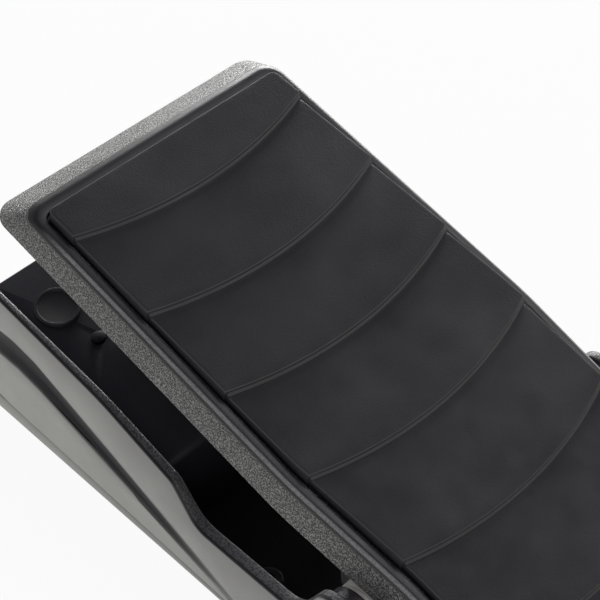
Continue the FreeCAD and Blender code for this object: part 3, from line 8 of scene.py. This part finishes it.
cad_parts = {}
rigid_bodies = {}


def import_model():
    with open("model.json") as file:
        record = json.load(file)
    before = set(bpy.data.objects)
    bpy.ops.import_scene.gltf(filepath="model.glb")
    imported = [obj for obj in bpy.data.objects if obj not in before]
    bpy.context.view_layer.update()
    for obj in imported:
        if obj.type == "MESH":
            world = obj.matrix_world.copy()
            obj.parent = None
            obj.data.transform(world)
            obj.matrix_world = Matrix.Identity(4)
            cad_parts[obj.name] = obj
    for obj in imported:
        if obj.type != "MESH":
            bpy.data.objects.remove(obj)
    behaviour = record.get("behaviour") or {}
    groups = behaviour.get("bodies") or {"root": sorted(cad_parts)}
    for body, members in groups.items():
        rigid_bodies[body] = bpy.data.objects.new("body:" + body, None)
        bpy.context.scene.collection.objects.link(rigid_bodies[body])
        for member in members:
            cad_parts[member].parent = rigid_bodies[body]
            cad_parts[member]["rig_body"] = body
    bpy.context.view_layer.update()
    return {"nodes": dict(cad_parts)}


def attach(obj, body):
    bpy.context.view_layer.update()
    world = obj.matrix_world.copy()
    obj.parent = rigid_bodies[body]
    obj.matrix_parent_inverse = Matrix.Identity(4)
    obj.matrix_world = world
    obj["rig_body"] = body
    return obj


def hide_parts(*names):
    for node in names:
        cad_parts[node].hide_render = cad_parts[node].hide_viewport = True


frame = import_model()
scene = bpy.context.scene


# The room: a plain white table under soft studio light, photographed from the heel's left.
# The backdrop and the table are white to the camera, the table keeps a faint shadow, and from
# below it can be seen through.

CAMERA_PLACE = (-0.1545, -0.1213, 0.2890)
CAMERA_LOOK = (0.4740, 0.5198, -0.7107)
CAMERA_UP = (0.5260, 0.4801, 0.7020)
CAMERA_LENS = 79.6
CAMERA_SENSOR = 36
HORIZON_COLOUR = (0.93, 0.94, 0.90, 1)
ZENITH_COLOUR = (0.113, 0.107, 0.134, 1)
SKY_FALL_START = 0.08
SKY_FALL_END = 0.70
WHITE = (1, 1, 1, 1)
TABLE_HALF = 4
TABLE_MATT = (0.9, 0.9, 0.89, 1)
TABLE_REFLECTED = (1, 1, 0.95, 1)
TABLE_GLOW_SHARE = 0.94

camera_data = bpy.data.cameras.new("camera")
camera_data.lens = CAMERA_LENS
camera_data.sensor_width = CAMERA_SENSOR
camera_data.clip_start = 0.01
camera = bpy.data.objects.new("camera", camera_data)
scene.collection.objects.link(camera)
scene.camera = camera
look = Vector(CAMERA_LOOK).normalized()
side = look.cross(Vector(CAMERA_UP)).normalized()
upward = side.cross(look)
camera.matrix_world = Matrix((
    (side.x, upward.x, -look.x, CAMERA_PLACE[0]),
    (side.y, upward.y, -look.y, CAMERA_PLACE[1]),
    (side.z, upward.z, -look.z, CAMERA_PLACE[2]),
    (0, 0, 0, 1),
))

scene.view_settings.view_transform = "Standard"


def add_node(tree, kind, inputs=None, **settings):
    """A new shader node; each input is given a value, or the output that feeds it."""
    made = tree.nodes.new("ShaderNode" + kind)
    for name, value in settings.items():
        setattr(made, name, value)
    for name, value in (inputs or {}).items():
        if isinstance(value, bpy.types.NodeSocket):
            tree.links.new(value, made.inputs[name])
        else:
            made.inputs[name].default_value = value
    return made


world = bpy.data.worlds.new("studio")
scene.world = world
world.use_nodes = True
sky = world.node_tree
sky.nodes.clear()
sky_height = add_node(sky, "SeparateXYZ", {0: add_node(sky, "TexCoord").outputs["Generated"]})
sky_fall = add_node(sky, "MapRange", {
    "Value": sky_height.outputs["Z"], "From Min": SKY_FALL_START, "From Max": SKY_FALL_END,
}, interpolation_type="SMOOTHSTEP")
sky_colour = add_node(sky, "Mix", {
    "A": HORIZON_COLOUR, "B": ZENITH_COLOUR, "Factor": sky_fall.outputs["Result"],
}, data_type="RGBA")
sky_light = add_node(sky, "Background", {"Color": sky_colour.outputs["Result"]})
sky_seen = add_node(sky, "Background", {"Color": WHITE})
sky_mix = add_node(sky, "MixShader", {
    "Fac": add_node(sky, "LightPath").outputs["Is Camera Ray"],
    1: sky_light.outputs[0], 2: sky_seen.outputs[0],
})
add_node(sky, "OutputWorld", {"Surface": sky_mix.outputs[0]})


def softbox(name, place, aim, width, height, watts):
    """A rectangular studio lamp that faces a point."""
    data = bpy.data.lights.new(name, "AREA")
    data.shape = "RECTANGLE"
    data.size = width
    data.size_y = height
    data.energy = watts
    lamp = bpy.data.objects.new(name, data)
    lamp.location = place
    lamp.rotation_euler = (Vector(aim) - Vector(place)).to_track_quat("-Z", "Y").to_euler()
    scene.collection.objects.link(lamp)


softbox("overhead_lamp", place=(0.60, -0.25, 1.1), aim=(0, 0, 0),
        width=0.7, height=0.7, watts=4.8)
softbox("toe_lamp", place=(1.10, 0.97, 0.30), aim=(0, 0.1, 0.05),
        width=0.9, height=0.45, watts=18.5)

bm = bmesh.new()
bmesh.ops.create_grid(bm, x_segments=1, y_segments=1, size=TABLE_HALF)
table_mesh = bpy.data.meshes.new("table")
bm.to_mesh(table_mesh)
bm.free()
table = bpy.data.objects.new("table", table_mesh)
scene.collection.objects.link(table)
table_paint = bpy.data.materials.new("table_paint")
table_paint.use_nodes = True
paint = table_paint.node_tree
paint.nodes.clear()
ray = add_node(paint, "LightPath").outputs
tint = add_node(paint, "Mix", {
    "A": TABLE_REFLECTED, "B": WHITE, "Factor": ray["Is Camera Ray"],
}, data_type="RGBA")
glow = add_node(paint, "Emission", {"Color": tint.outputs["Result"]})
matt = add_node(paint, "BsdfDiffuse", {"Color": TABLE_MATT})
glowing = add_node(paint, "Math", {0: ray["Is Camera Ray"], 1: ray["Is Glossy Ray"]},
                   operation="MAXIMUM")
share = add_node(paint, "Math", {0: glowing.outputs[0], 1: TABLE_GLOW_SHARE}, operation="MULTIPLY")
from_above = add_node(paint, "MixShader", {
    "Fac": share.outputs[0], 1: matt.outputs[0], 2: glow.outputs[0],
})
either_side = add_node(paint, "MixShader", {
    "Fac": add_node(paint, "NewGeometry").outputs["Backfacing"],
    1: from_above.outputs[0], 2: add_node(paint, "BsdfTransparent").outputs[0],
})
add_node(paint, "OutputMaterial", {"Surface": either_side.outputs[0]})
table_mesh.materials.append(table_paint)


# The case: base shell, lid of the toe housing, control panel and bottom cover.
# Each is injection moulded black plastic with a fine matt grain outside and soft edges;
# the lid is let in between the walls, the panel sits in its window, the cover is screwed on.

BASE_HALF = 0.051
FOOT_PROUD = 0.0015
WALL_LEAN = tan(radians(2.9))
WALL_FOOT = BASE_HALF + FOOT_PROUD * WALL_LEAN
GROOVE_FALL = tan(radians(19.1))
GROOVE_LINE = (0.0056, 0.0062)
GROOVE_INSET = (0.0002, 0.0007)
RIM_FROM = (0.0460, 0.0463)
RIM_INSET = (0.0006, 0.0009)
WALL_FROM = (0.0462, 0.0466)
TOE_WALL_FROM = (0.1120, 0.1125)
LIP_START = 0.0203
BLACK = (0.020, 0.018, 0.023)
WORN_BLACK = (0.022, 0.020, 0.025)
# Pale colour painted on the top of the side walls' rim: a painted highlight.
RIM_PAINTED_HIGHLIGHT = (0.17, 0.167, 0.172)
SAME_POINT = 2e-6
NEARLY_FLAT = radians(0.4)
SLIVER = 1e-7


def moulded(node, radius, corner=28, segments=2, crisp=None):
    """A merged copy of a node's mesh with its sharp edges rounded, shown in the node's place.

    Edges that touch a place for which crisp is true stay sharp.
    """
    bm = bmesh.new()
    bm.from_mesh(frame["nodes"][node].data)
    bmesh.ops.remove_doubles(bm, verts=bm.verts, dist=SAME_POINT)
    bmesh.ops.dissolve_limit(bm, angle_limit=NEARLY_FLAT, verts=bm.verts, edges=bm.edges,
                             use_dissolve_boundaries=False)
    bm.normal_update()
    sharp = [e for e in bm.edges if e.is_manifold and e.calc_face_angle(0) > radians(corner)
             and not (crisp and any(crisp(v.co) for v in e.verts))]
    bmesh.ops.bevel(bm, geom=sharp, offset=radius, offset_type="OFFSET", segments=segments,
                    profile=0.5, affect="EDGES", material=-1, clamp_overlap=False)
    bmesh.ops.remove_doubles(bm, verts=bm.verts, dist=SLIVER)
    bmesh.ops.dissolve_degenerate(bm, edges=bm.edges, dist=SLIVER)
    bmesh.ops.triangulate(bm, faces=[f for f in bm.faces if len(f.verts) > 4])
    return finished(bm, node + "_moulding", node)


def finished(bm, name, *nodes, smooth=32):
    """Turn a bmesh into a piece that stands for its nodes and rides on their body."""
    mesh = bpy.data.meshes.new(name)
    bm.to_mesh(mesh)
    bm.free()
    mesh.shade_smooth()
    mesh.set_sharp_from_angle(angle=radians(smooth))
    piece = bpy.data.objects.new(name, mesh)
    scene.collection.objects.link(piece)
    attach(piece, frame["nodes"][nodes[0]]["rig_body"])
    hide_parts(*nodes)
    return piece


def coat_with(piece, finish):
    """Give a piece one finish all over."""
    for slot in piece.material_slots:
        slot.material = finish.material
    if not piece.material_slots:
        piece.data.materials.append(finish.material)


class Finish:
    """A material in the making: its node tree, its shader and the piece's own coordinates."""

    def __init__(self, name, colour, rough, specular=0.5):
        self.material = bpy.data.materials.new(name)
        self.material.use_nodes = True
        self.tree = self.material.node_tree
        self.shader = self.tree.nodes["Principled BSDF"]
        self.where = self.tree.nodes.new("ShaderNodeTexCoord").outputs
        self.set("Base Color", (*colour, 1))
        self.set("Roughness", rough)
        self.set("Specular IOR Level", specular)

    def set(self, name, value):
        """Give an input of the shader a value, or the output that feeds it."""
        if isinstance(value, bpy.types.NodeSocket):
            self.tree.links.new(value, self.shader.inputs[name])
        else:
            self.shader.inputs[name].default_value = value

    def clouds(self, scale, detail=2):
        """Soft noise of a given scale, per metre, on the piece's own coordinates."""
        return add_node(self.tree, "TexNoise", {
            "Scale": scale, "Detail": detail, "Vector": self.where["Object"],
        }).outputs[0]

    def between(self, value, low, high, start=0.3, end=0.7):
        """Map a run of a value, or the middle of the noise, onto two numbers."""
        return add_node(self.tree, "MapRange", {
            "From Min": start, "From Max": end, "To Min": low, "To Max": high, "Value": value,
        }).outputs["Result"]

    def rise(self, value, start, end):
        """A mask that goes from 0 to 1 as a value goes from start to end."""
        return self.between(value, 0, 1, start, end)

    def fall(self, value, start=0, end=1):
        """A mask that goes from 1 to 0 as a value goes from start to end."""
        return self.between(value, 1, 0, start, end)

    def two_colours(self, factor, dark, light):
        """A mix of two colours, each given as three numbers or as an output."""
        dark, light = (c if isinstance(c, bpy.types.NodeSocket) else (*c, 1) for c in (dark, light))
        return add_node(self.tree, "Mix", {"A": dark, "B": light, "Factor": factor},
                        data_type="RGBA").outputs["Result"]

    def relief(self, height, depth, onto=None):
        """Bump of a depth in metres, on top of another bump where one is given."""
        inputs = {"Distance": depth, "Height": height}
        if onto:
            inputs["Normal"] = onto
        return add_node(self.tree, "Bump", inputs).outputs["Normal"]

    def combine(self, operation, one, other):
        """One step of arithmetic on outputs or numbers."""
        return add_node(self.tree, "Math", {0: one, 1: other}, operation=operation).outputs[0]

    def product(self, one, *others):
        """Several masks multiplied."""
        for other in others:
            one = self.combine("MULTIPLY", one, other)
        return one

    def along(self, coordinate, direction):
        """How far a point or a normal of the piece reaches in a direction."""
        return add_node(self.tree, "VectorMath", {0: self.where[coordinate], 1: direction},
                        operation="DOT_PRODUCT").outputs["Value"]

    def facing(self, direction, start, end):
        """A mask of how squarely the surface faces a direction of the piece."""
        return self.rise(self.along("Normal", direction), start, end)

    def uneven(self, scale, low, high, detail=2):
        """Roughness that wanders between two values."""
        self.set("Roughness", self.between(self.clouds(scale, detail), low, high))

    def toned(self, scale, dark, light):
        """Colour that wanders between two tones."""
        self.set("Base Color", self.two_colours(self.clouds(scale, 3), dark, light))

    def grained(self, scale, depth):
        """Fine grain of a depth in metres."""
        self.set("Normal", self.relief(self.clouds(scale), depth))


case = Finish("case_plastic", BLACK, 0.42)
case.set("Coat Roughness", 0.38)
case.set("Coat IOR", 1.8)
parts = add_node(case.tree, "SeparateXYZ", {0: case.where["Object"]}).outputs
across = case.combine("ABSOLUTE", parts["X"], 0)
reach = case.combine("ADD", case.product(parts["Z"], WALL_LEAN), across)
depth = case.combine("SUBTRACT", WALL_FOOT, reach)
over_groove = case.combine("ADD", parts["Z"], case.product(parts["Y"], -GROOVE_FALL))
up = case.facing((0, 0, 1), 0.2, 0.5)
# The rim on top of the side walls carries a coarser grain and is painted pale, a painted highlight
# along it.
rim_grain_and_highlight = case.product(up, case.rise(across, *RIM_FROM), case.rise(over_groove, *GROOVE_LINE),
                   case.rise(depth, *RIM_INSET))
wall = case.rise(across, *WALL_FROM)
sunk = case.product(case.rise(depth, *GROOVE_INSET), case.fall(over_groove, *GROOVE_LINE), wall)
outside = case.combine("MAXIMUM", wall, case.rise(parts["Y"], *TOE_WALL_FROM))
case.set("Coat Weight", case.product(outside, case.fall(sunk), case.fall(up)))
speck = case.clouds(1900)
# Base colour: a random fine speckle on black, with the painted highlight on the rim.
case.set("Base Color", case.two_colours(case.between(speck, 0.35, 1, 0.42, 0.58), WORN_BLACK,
                                        case.two_colours(rim_grain_and_highlight, BLACK, RIM_PAINTED_HIGHLIGHT)))
case.set("Roughness", case.combine("ADD", case.between(case.clouds(60, 3), 0.38, 0.50),
                               case.between(sunk, 0, 0.35, 0, 1)))
etched = case.relief(case.clouds(2600), 0.00009, case.relief(case.product(speck, rim_grain_and_highlight), 0.00012))
case.set("Normal", etched)
case.set("Coat Normal", etched)

deck = Finish("deck_plastic", (0.014, 0.013, 0.017), 0.45, 0.55)
deck.uneven(60, 0.40, 0.55, 3)
deck.toned(900, (0.024, 0.021, 0.030), (0.036, 0.033, 0.043))
deck.grained(1800, 0.00004)


def lip_start(place):
    """True at the thin start of the cover's lip and the end of the groove above it."""
    return abs(place.y - LIP_START) < 0.002 and place.z < 0.0095 and abs(place.x) > 0.044


for node, radius, segments, crisp, finish, slot in (
    ("base_shell", 0.0006, 3, lip_start, case, "shell_plastic"),
    ("deck_plate", 0.0004, 2, None, deck, "shell_plastic"),
    ("control_panel", 0.0004, 2, None, case, "shell_plastic"),
    ("bottom_cover", 0.0004, 2, None, case, "cover_plastic"),
):
    piece = moulded(node, radius, segments=segments, crisp=crisp)
    coat_with(piece, finish)


# Rubber pieces of the base: four feet let into the cover, and the pads that stop the treadle.
# They are moulded in soft black rubber with a matt, faintly dusty skin.

rubber = Finish("pad_rubber", (0.022, 0.021, 0.024), 0.5)
rubber.uneven(150, 0.38, 0.55, 3)
rubber.toned(90, (0.018, 0.017, 0.020), (0.030, 0.029, 0.032))
rubber.grained(3000, 0.00003)
for node, radius in (
    ("rubber_feet", 0.0006), ("toe_bumper_pads", 0.00014), ("heel_bumper_pads", 0.0005),
):
    piece = moulded(node, radius, segments=3)
    coat_with(piece, rubber)


# Small dark fixings: cover screws, deck screws and axle clips of blackened steel, turned or
# stamped, and the axle caps, moulded in the case's plastic and pressed into the ears.

black_steel = Finish("black_steel", (0.020, 0.019, 0.021), 0.38)
black_steel.set("Metallic", 0.85)
black_steel.uneven(700, 0.28, 0.46, 3)
black_steel.grained(2200, 0.00002)
for node, radius, finish, slot in (
    ("cover_screws", 0.0003, black_steel, "dark_steel"),
    ("deck_screws", 0.00015, black_steel, "dark_steel"),
    ("axle_clips", 0.0001, black_steel, "dark_steel"),
    ("axle_caps", 0.0004, case, "cover_plastic"),
):
    piece = moulded(node, radius)
    coat_with(piece, finish)


# Bright steel: the pivot axle, the bracket, the potentiometers' cases, nuts and screws.
# Turned or stamped, zinc or nickel plated, with fine lines and a little tarnish.

steel = Finish("plated_steel", (0.56, 0.56, 0.57), 0.3)
steel.set("Metallic", 1)
stretch = add_node(steel.tree, "Mapping", {
    "Scale": (200, 2600, 2600), "Vector": steel.where["Object"],
})
lines = add_node(steel.tree, "TexNoise", {"Scale": 1, "Vector": stretch.outputs[0]}).outputs[0]
steel.set("Roughness", steel.between(lines, 0.24, 0.42))
steel.toned(120, (0.46, 0.46, 0.46), (0.62, 0.62, 0.63))
steel.set("Normal", steel.relief(lines, 0.000012))
for node, radius, slot in (
    ("pivot_axle", 0.0003, "steel"), ("pot_bracket", 0.0002, "steel"),
    ("bracket_screws", 0.0003, "steel"), ("board_screws", 0.0003, "steel"),
    ("sector_screws", 0.0003, "steel"), ("pot_spindle", 0.0002, "steel"),
    ("range_spindle", 0.0002, "steel"), ("drive_pot_body", 0.0002, "pot_metal"),
    ("drive_pot_nut", 0.0002, "pot_metal"), ("jack_nut", 0.0002, "pot_metal"),
    ("range_pot_nut", 0.0002, "pot_metal"), ("range_pot_body", 0.0002, "pot_metal"),
    ("polarity_switch_body", 0.0002, "pot_metal"),
):
    piece = moulded(node, radius)
    coat_with(piece, steel)


# White engineering plastics: the toothed sector and its pinion in acetal, the pivot bushes and
# friction washers in nylon, and the lead socket on the board.

acetal = Finish("white_acetal", (0.72, 0.71, 0.66), 0.35)
acetal.toned(80, (0.66, 0.65, 0.59), (0.76, 0.75, 0.70))
acetal.uneven(300, 0.28, 0.42)
acetal.grained(1500, 0.00002)
for node, radius, slot in (
    ("drive_sector", 0.00012, "gear_plastic"), ("pot_pinion", 0.00012, "gear_plastic"),
    ("pivot_bushes", 0.0002, "nylon"), ("friction_washers", 0.0002, "nylon"),
    ("lead_socket", 0.0003, "socket_plastic"),
):
    piece = moulded(node, radius)
    coat_with(piece, acetal)


# Jack body, range knob and switch lever: glossy and satin black plastic mouldings. The jack is
# soldered to the board, the knob is pressed on its spindle, the lever slides in the switch.

knob_plastic = Finish("knob_plastic", (0.025, 0.025, 0.027), 0.35)
knob_plastic.uneven(400, 0.28, 0.44)
knob_plastic.grained(2600, 0.00003)
for node, radius, slot in (
    ("jack_body", 0.0003, "jack_plastic"), ("range_knob", 0.0003, "knob_plastic"),
    ("polarity_slider", 0.0002, "jack_plastic"),
):
    piece = moulded(node, radius)
    coat_with(piece, knob_plastic)


# Circuit board: glass-fibre laminate under green lacquer, with faint copper tracks, cut to
# size and screwed to the cover's standoffs.

LACQUER = (0.02, 0.11, 0.045)

board = Finish("board_lacquer", LACQUER, 0.3)
tracks = add_node(board.tree, "TexBrick", {
    "Scale": 120, "Mortar Size": 0.06, "Color1": (*LACQUER, 1), "Color2": (0.025, 0.13, 0.055, 1),
    "Mortar": (0.06, 0.22, 0.08, 1), "Vector": board.where["Object"],
}).outputs
board.set("Base Color", tracks["Color"])
board.set("Normal", board.relief(tracks["Fac"], 0.00003))
board.uneven(200, 0.22, 0.4)
piece = moulded("circuit_board", 0.0001)
coat_with(piece, board)


# Three insulated wires from the potentiometer to the board: black, red and white copper strands
# in plastic skins, side by side, soldered to the pot's lugs and plugged into the socket.

BLACK_SKIN = (0.02, 0.02, 0.022)
RED_SKIN = (0.42, 0.03, 0.025)
WHITE_SKIN = (0.7, 0.69, 0.64)
BLACK_TO_RED = (0.0104, 0.0106)
RED_TO_WHITE = (0.0134, 0.0136)

wire = Finish("wire_skin", (0.4, 0.04, 0.03), 0.4)
lead_x = add_node(wire.tree, "SeparateXYZ", {0: wire.where["Object"]}).outputs["X"]
first_two = wire.two_colours(wire.rise(lead_x, *BLACK_TO_RED), BLACK_SKIN, RED_SKIN)
wire.set("Base Color", wire.two_colours(wire.rise(lead_x, *RED_TO_WHITE), first_two, WHITE_SKIN))
wire.uneven(500, 0.3, 0.5)
wire.grained(1500, 0.00002)
piece = moulded("pot_leads", 0.00005, corner=60)
coat_with(piece, wire)


# Treadle frame: a moulded black plastic rocker with leather-grained bevels and a smooth flat rim
# round the mat's recess. It is ribbed below, and its lugs hold the axle.

TILT = radians(17.4)
PIVOT = Vector((0, -0.0118, 0.0332))
TREAD_UP = (0, -sin(TILT), cos(TILT))
TREAD_TOEWARD = (0, cos(TILT), sin(TILT))
PIVOT_RISE = PIVOT.dot(Vector(TREAD_UP))
PIVOT_TOEWARD = PIVOT.dot(Vector(TREAD_TOEWARD))
BEVEL_TOP = (PIVOT_RISE + 0.0134, PIVOT_RISE + 0.0141)
RIDGE_FOOT = (PIVOT_RISE + 0.0142, PIVOT_RISE + 0.0145)
RIDGE_TOP = (PIVOT_RISE + 0.0148, PIVOT_RISE + 0.01496)
RIDGE_END = (PIVOT_TOEWARD + 0.104, PIVOT_TOEWARD + 0.114)

tread_plastic = Finish("tread_plastic", (0.026, 0.024, 0.029), 0.42, 0.6)
rise = tread_plastic.along("Object", TREAD_UP)
toeward = tread_plastic.along("Object", TREAD_TOEWARD)
bevelled = tread_plastic.fall(rise, *BEVEL_TOP)
# The ridge is the rounded band between the bevels and the flat rim; it is painted pale, a painted
# highlight broken by the grain.
ridge = tread_plastic.product(
    tread_plastic.rise(rise, *RIDGE_FOOT), tread_plastic.fall(rise, *RIDGE_TOP),
    tread_plastic.fall(toeward, *RIDGE_END))
cells = tread_plastic.rise(tread_plastic.clouds(2700, 1), 0.37, 0.58)
# The bevels' grain cells give the pebbled bump and the coat, and their peaks are also painted light
# grey, a painted highlight.
grain_and_highlight = tread_plastic.product(cells, bevelled)
pebbled = tread_plastic.relief(grain_and_highlight, 0.00028,
                               tread_plastic.relief(tread_plastic.clouds(2600), 0.00003))
tread_plastic.set("Normal", pebbled)
tread_plastic.set("Coat Normal", pebbled)
tread_plastic.uneven(80, 0.38, 0.50, 3)
tread_plastic.set("Coat Roughness", 0.34)
tread_plastic.set("Coat IOR", 1.7)
tread_plastic.set("Coat Weight", tread_plastic.product(grain_and_highlight, 0.95))
# Painted highlight on the ridge: pale where the grain's cells rise, over near-black plastic
# elsewhere.
grainy_ridge_highlight = tread_plastic.product(ridge, tread_plastic.between(cells, 0.6, 1, 0, 1))
smooth_with_ridge_highlight = tread_plastic.two_colours(grainy_ridge_highlight, (0.010, 0.009, 0.012), (0.30, 0.295, 0.30))
# Base colour: near black, with the painted highlights on the ridge and on the bevels' grain peaks.
tread_plastic.set("Base Color", tread_plastic.two_colours(grain_and_highlight, smooth_with_ridge_highlight, (0.13, 0.127, 0.130)))
piece = moulded("treadle_frame", 0.0006, corner=20, segments=3)
coat_with(piece, tread_plastic)


# Tread mat: one moulded sheet of matt black rubber with overlapping bowed shingles, each rising
# to a rounded lip with a small bead at its foot. It is glued into the treadle's recess.
# Its sizes are in millimetres, in the treadle's own frame.

MAT_HALF = 37.5
MAT_TOE = 115.8
MAT_HEEL = -97.0
MAT_CORNER = 2.0
MAT_BOTTOM = 13.5
LIP_FIRST = 106.0
LIP_PITCH = 26.44
LIP_BOW = 6.4
LIP_STEP = 1.7
LIP_TOP = 18.0
LIP_COUNT = 8
LIP_SLOPE = LIP_STEP / LIP_PITCH
EDGE_ROUND = 0.4
LOW_INSET = 0.35
WELL_INSIDE = 9
BOW_RADIUS = (MAT_HALF ** 2 + LIP_BOW ** 2) / (2 * LIP_BOW)
WAIST_START = 27.5
WAIST_MIDDLE = -7
WAIST_END = -48
WAIST_DEPTH = 2.5
HEEL_NARROWING = 1.2
WAIST_BENDS = ((WAIST_START, 0.0725, 4.7), (WAIST_MIDDLE, -0.1042, 6.8), (WAIST_END, 0.0317, 2.1))
# Each row across a lip: how far it lies to the heel of the lip's line, and how far below its top.
LIP_ROWS = (
    (-0.5, 0), (-0.28, 0.04), (-0.12, 0.13), (-0.02, 0.30),
    (0.05, 0.60), (0.14, 0.86), (0.28, 0.98), (0.50, 1.02), (0.66, 1.10),
    (0.74, 1.26), (0.80, 1.62), (0.90, 1.80), (1.06, 1.78), (1.3, 1.70),
)
END_ROWS = (0, 0.06, 0.2, 0.4, 1.2, 2.0)
SIDE_COLUMNS = (0, 0.06, 0.2, 0.4, 1.0)
INNER_COLUMNS = 40
SHINGLE_ROWS = 8


def waist(y):
    """How far the treadle's sides draw in at a place along it."""
    if y > WAIST_START:
        draw = 0
    elif y > WAIST_MIDDLE:
        draw = WAIST_DEPTH * (WAIST_START - y) / (WAIST_START - WAIST_MIDDLE)
    elif y > WAIST_END:
        draw = WAIST_DEPTH - ((WAIST_DEPTH - HEEL_NARROWING) * (WAIST_MIDDLE - y)
                              / (WAIST_MIDDLE - WAIST_END))
    else:
        draw = HEEL_NARROWING
    for bend, change, reach in WAIST_BENDS:
        off = abs(y - bend)
        if off < reach:
            draw += change * (reach - off) ** 2 / (4 * reach)
    return draw


def rounding(distance, radius=EDGE_ROUND):
    """Drop of a rounded edge at a distance from it."""
    if distance >= radius:
        return 0
    return radius - sqrt(radius ** 2 - (radius - distance) ** 2)


def mat_rows():
    """The mat's rows from toe to heel.

    Each is the place of its chord, its share of the lips' bow, its shift to the heel, the place
    of the lip that it belongs to, its drop below the shingle and its distance from the mat's end.
    """
    rows = [(MAT_TOE - edge, 0, 0, LIP_FIRST, 0, edge) for edge in END_ROWS]
    for number in range(LIP_COUNT):
        lip = LIP_FIRST - number * LIP_PITCH
        start, bow = (MAT_TOE - END_ROWS[-1], 0) if number == 0 else (lip + LIP_PITCH, 1)
        for step in range(1, SHINGLE_ROWS + 1):
            share = step / (SHINGLE_ROWS + 1)
            chord = start + (lip - start) * share
            rows.append((chord, bow + (1 - bow) * share, 0, lip, 0, WELL_INSIDE))
        rows += [(lip, 1, shift, lip, -drop, WELL_INSIDE) for shift, drop in LIP_ROWS]
    below = lip - LIP_PITCH
    for share in (0.2, 0.4, 0.6, 0.8):
        chord = lip + (MAT_HEEL + END_ROWS[-1] - lip) * share
        rows.append((chord, 1 - share, 0, below, 0, WELL_INSIDE))
    return rows + [(MAT_HEEL + edge, 0, 0, below, 0, edge) for edge in reversed(END_ROWS)]


rows = mat_rows()
last_column = INNER_COLUMNS + 2 * len(SIDE_COLUMNS) - 1
last_row = len(rows) - 1
bm = bmesh.new()
bmesh.ops.create_grid(bm, x_segments=last_column, y_segments=last_row, size=1)
for vert in bm.verts:
    column = round((vert.co.x + 1) / 2 * last_column)
    chord, bow, shift, lip, drop, end = rows[round((1 - vert.co.y) / 2 * last_row)]
    low = min(1, max(0, (chord - lip) / LIP_PITCH)) if end > END_ROWS[-1] else 0
    if -drop > LIP_STEP / 2:
        low = 1
    half = (MAT_HALF - waist(chord - bow * LIP_BOW * 0.5 - shift) - rounding(end, MAT_CORNER)
            - low * LOW_INSET)
    if column < len(SIDE_COLUMNS):
        edge = SIDE_COLUMNS[column]
        x = edge - half
    elif column > last_column - len(SIDE_COLUMNS):
        edge = SIDE_COLUMNS[last_column - column]
        x = half - edge
    else:
        edge = WELL_INSIDE
        share = (column - len(SIDE_COLUMNS) + 1) / (INNER_COLUMNS + 1)
        x = (half - SIDE_COLUMNS[-1]) * (2 * share - 1)
    sag = BOW_RADIUS - sqrt(BOW_RADIUS ** 2 - x * x)
    y = chord + bow * (sag - LIP_BOW) - shift
    z = LIP_TOP - (y + shift - lip) * LIP_SLOPE + drop
    vert.co = (x, y, z - max(rounding(edge), rounding(end)))
outline = [e for e in bm.edges if e.is_boundary]
skirt = bmesh.ops.extrude_edge_only(bm, edges=outline)
for item in skirt["geom"]:
    if isinstance(item, bmesh.types.BMVert):
        item.co.z = MAT_BOTTOM
bmesh.ops.holes_fill(bm, edges=[e for e in bm.edges if e.is_boundary], sides=0)
bmesh.ops.recalc_face_normals(bm, faces=bm.faces)
bmesh.ops.triangulate(bm, faces=[f for f in bm.faces if len(f.verts) > 4])
bm.transform(Matrix.Translation(PIVOT) @ Matrix.Rotation(TILT, 4, "X") @ Matrix.Scale(0.001, 4))
tread_mat = finished(bm, "tread_mat_shingles", "tread_mat", smooth=40)

mat_rubber = Finish("mat_rubber", (0.030, 0.030, 0.031), 0.62, 0.36)
tone = mat_rubber.product(mat_rubber.clouds(18, 3), mat_rubber.clouds(42))
surface = mat_rubber.two_colours(mat_rubber.rise(tone, 0.12, 0.4),
                                 (0.0165, 0.0157, 0.0190), (0.035, 0.0333, 0.038))
# Painted highlight: the rounded edges of the mat and of its lips, where the surface turns away from
# the tread, are painted lighter than the rubber.
edge_highlight = mat_rubber.product(mat_rubber.facing(TREAD_UP, 0.985, 0.90),
                            mat_rubber.facing(TREAD_UP, 0.25, 0.5))
mat_rubber.set("Base Color", mat_rubber.two_colours(edge_highlight, surface, (0.066, 0.064, 0.067)))
mat_rubber.uneven(120, 0.55, 0.7, 3)
mat_rubber.set("Normal", mat_rubber.relief(
    mat_rubber.clouds(2400), 0.00007, mat_rubber.relief(mat_rubber.clouds(900), 0.00003)))
coat_with(tread_mat, mat_rubber)
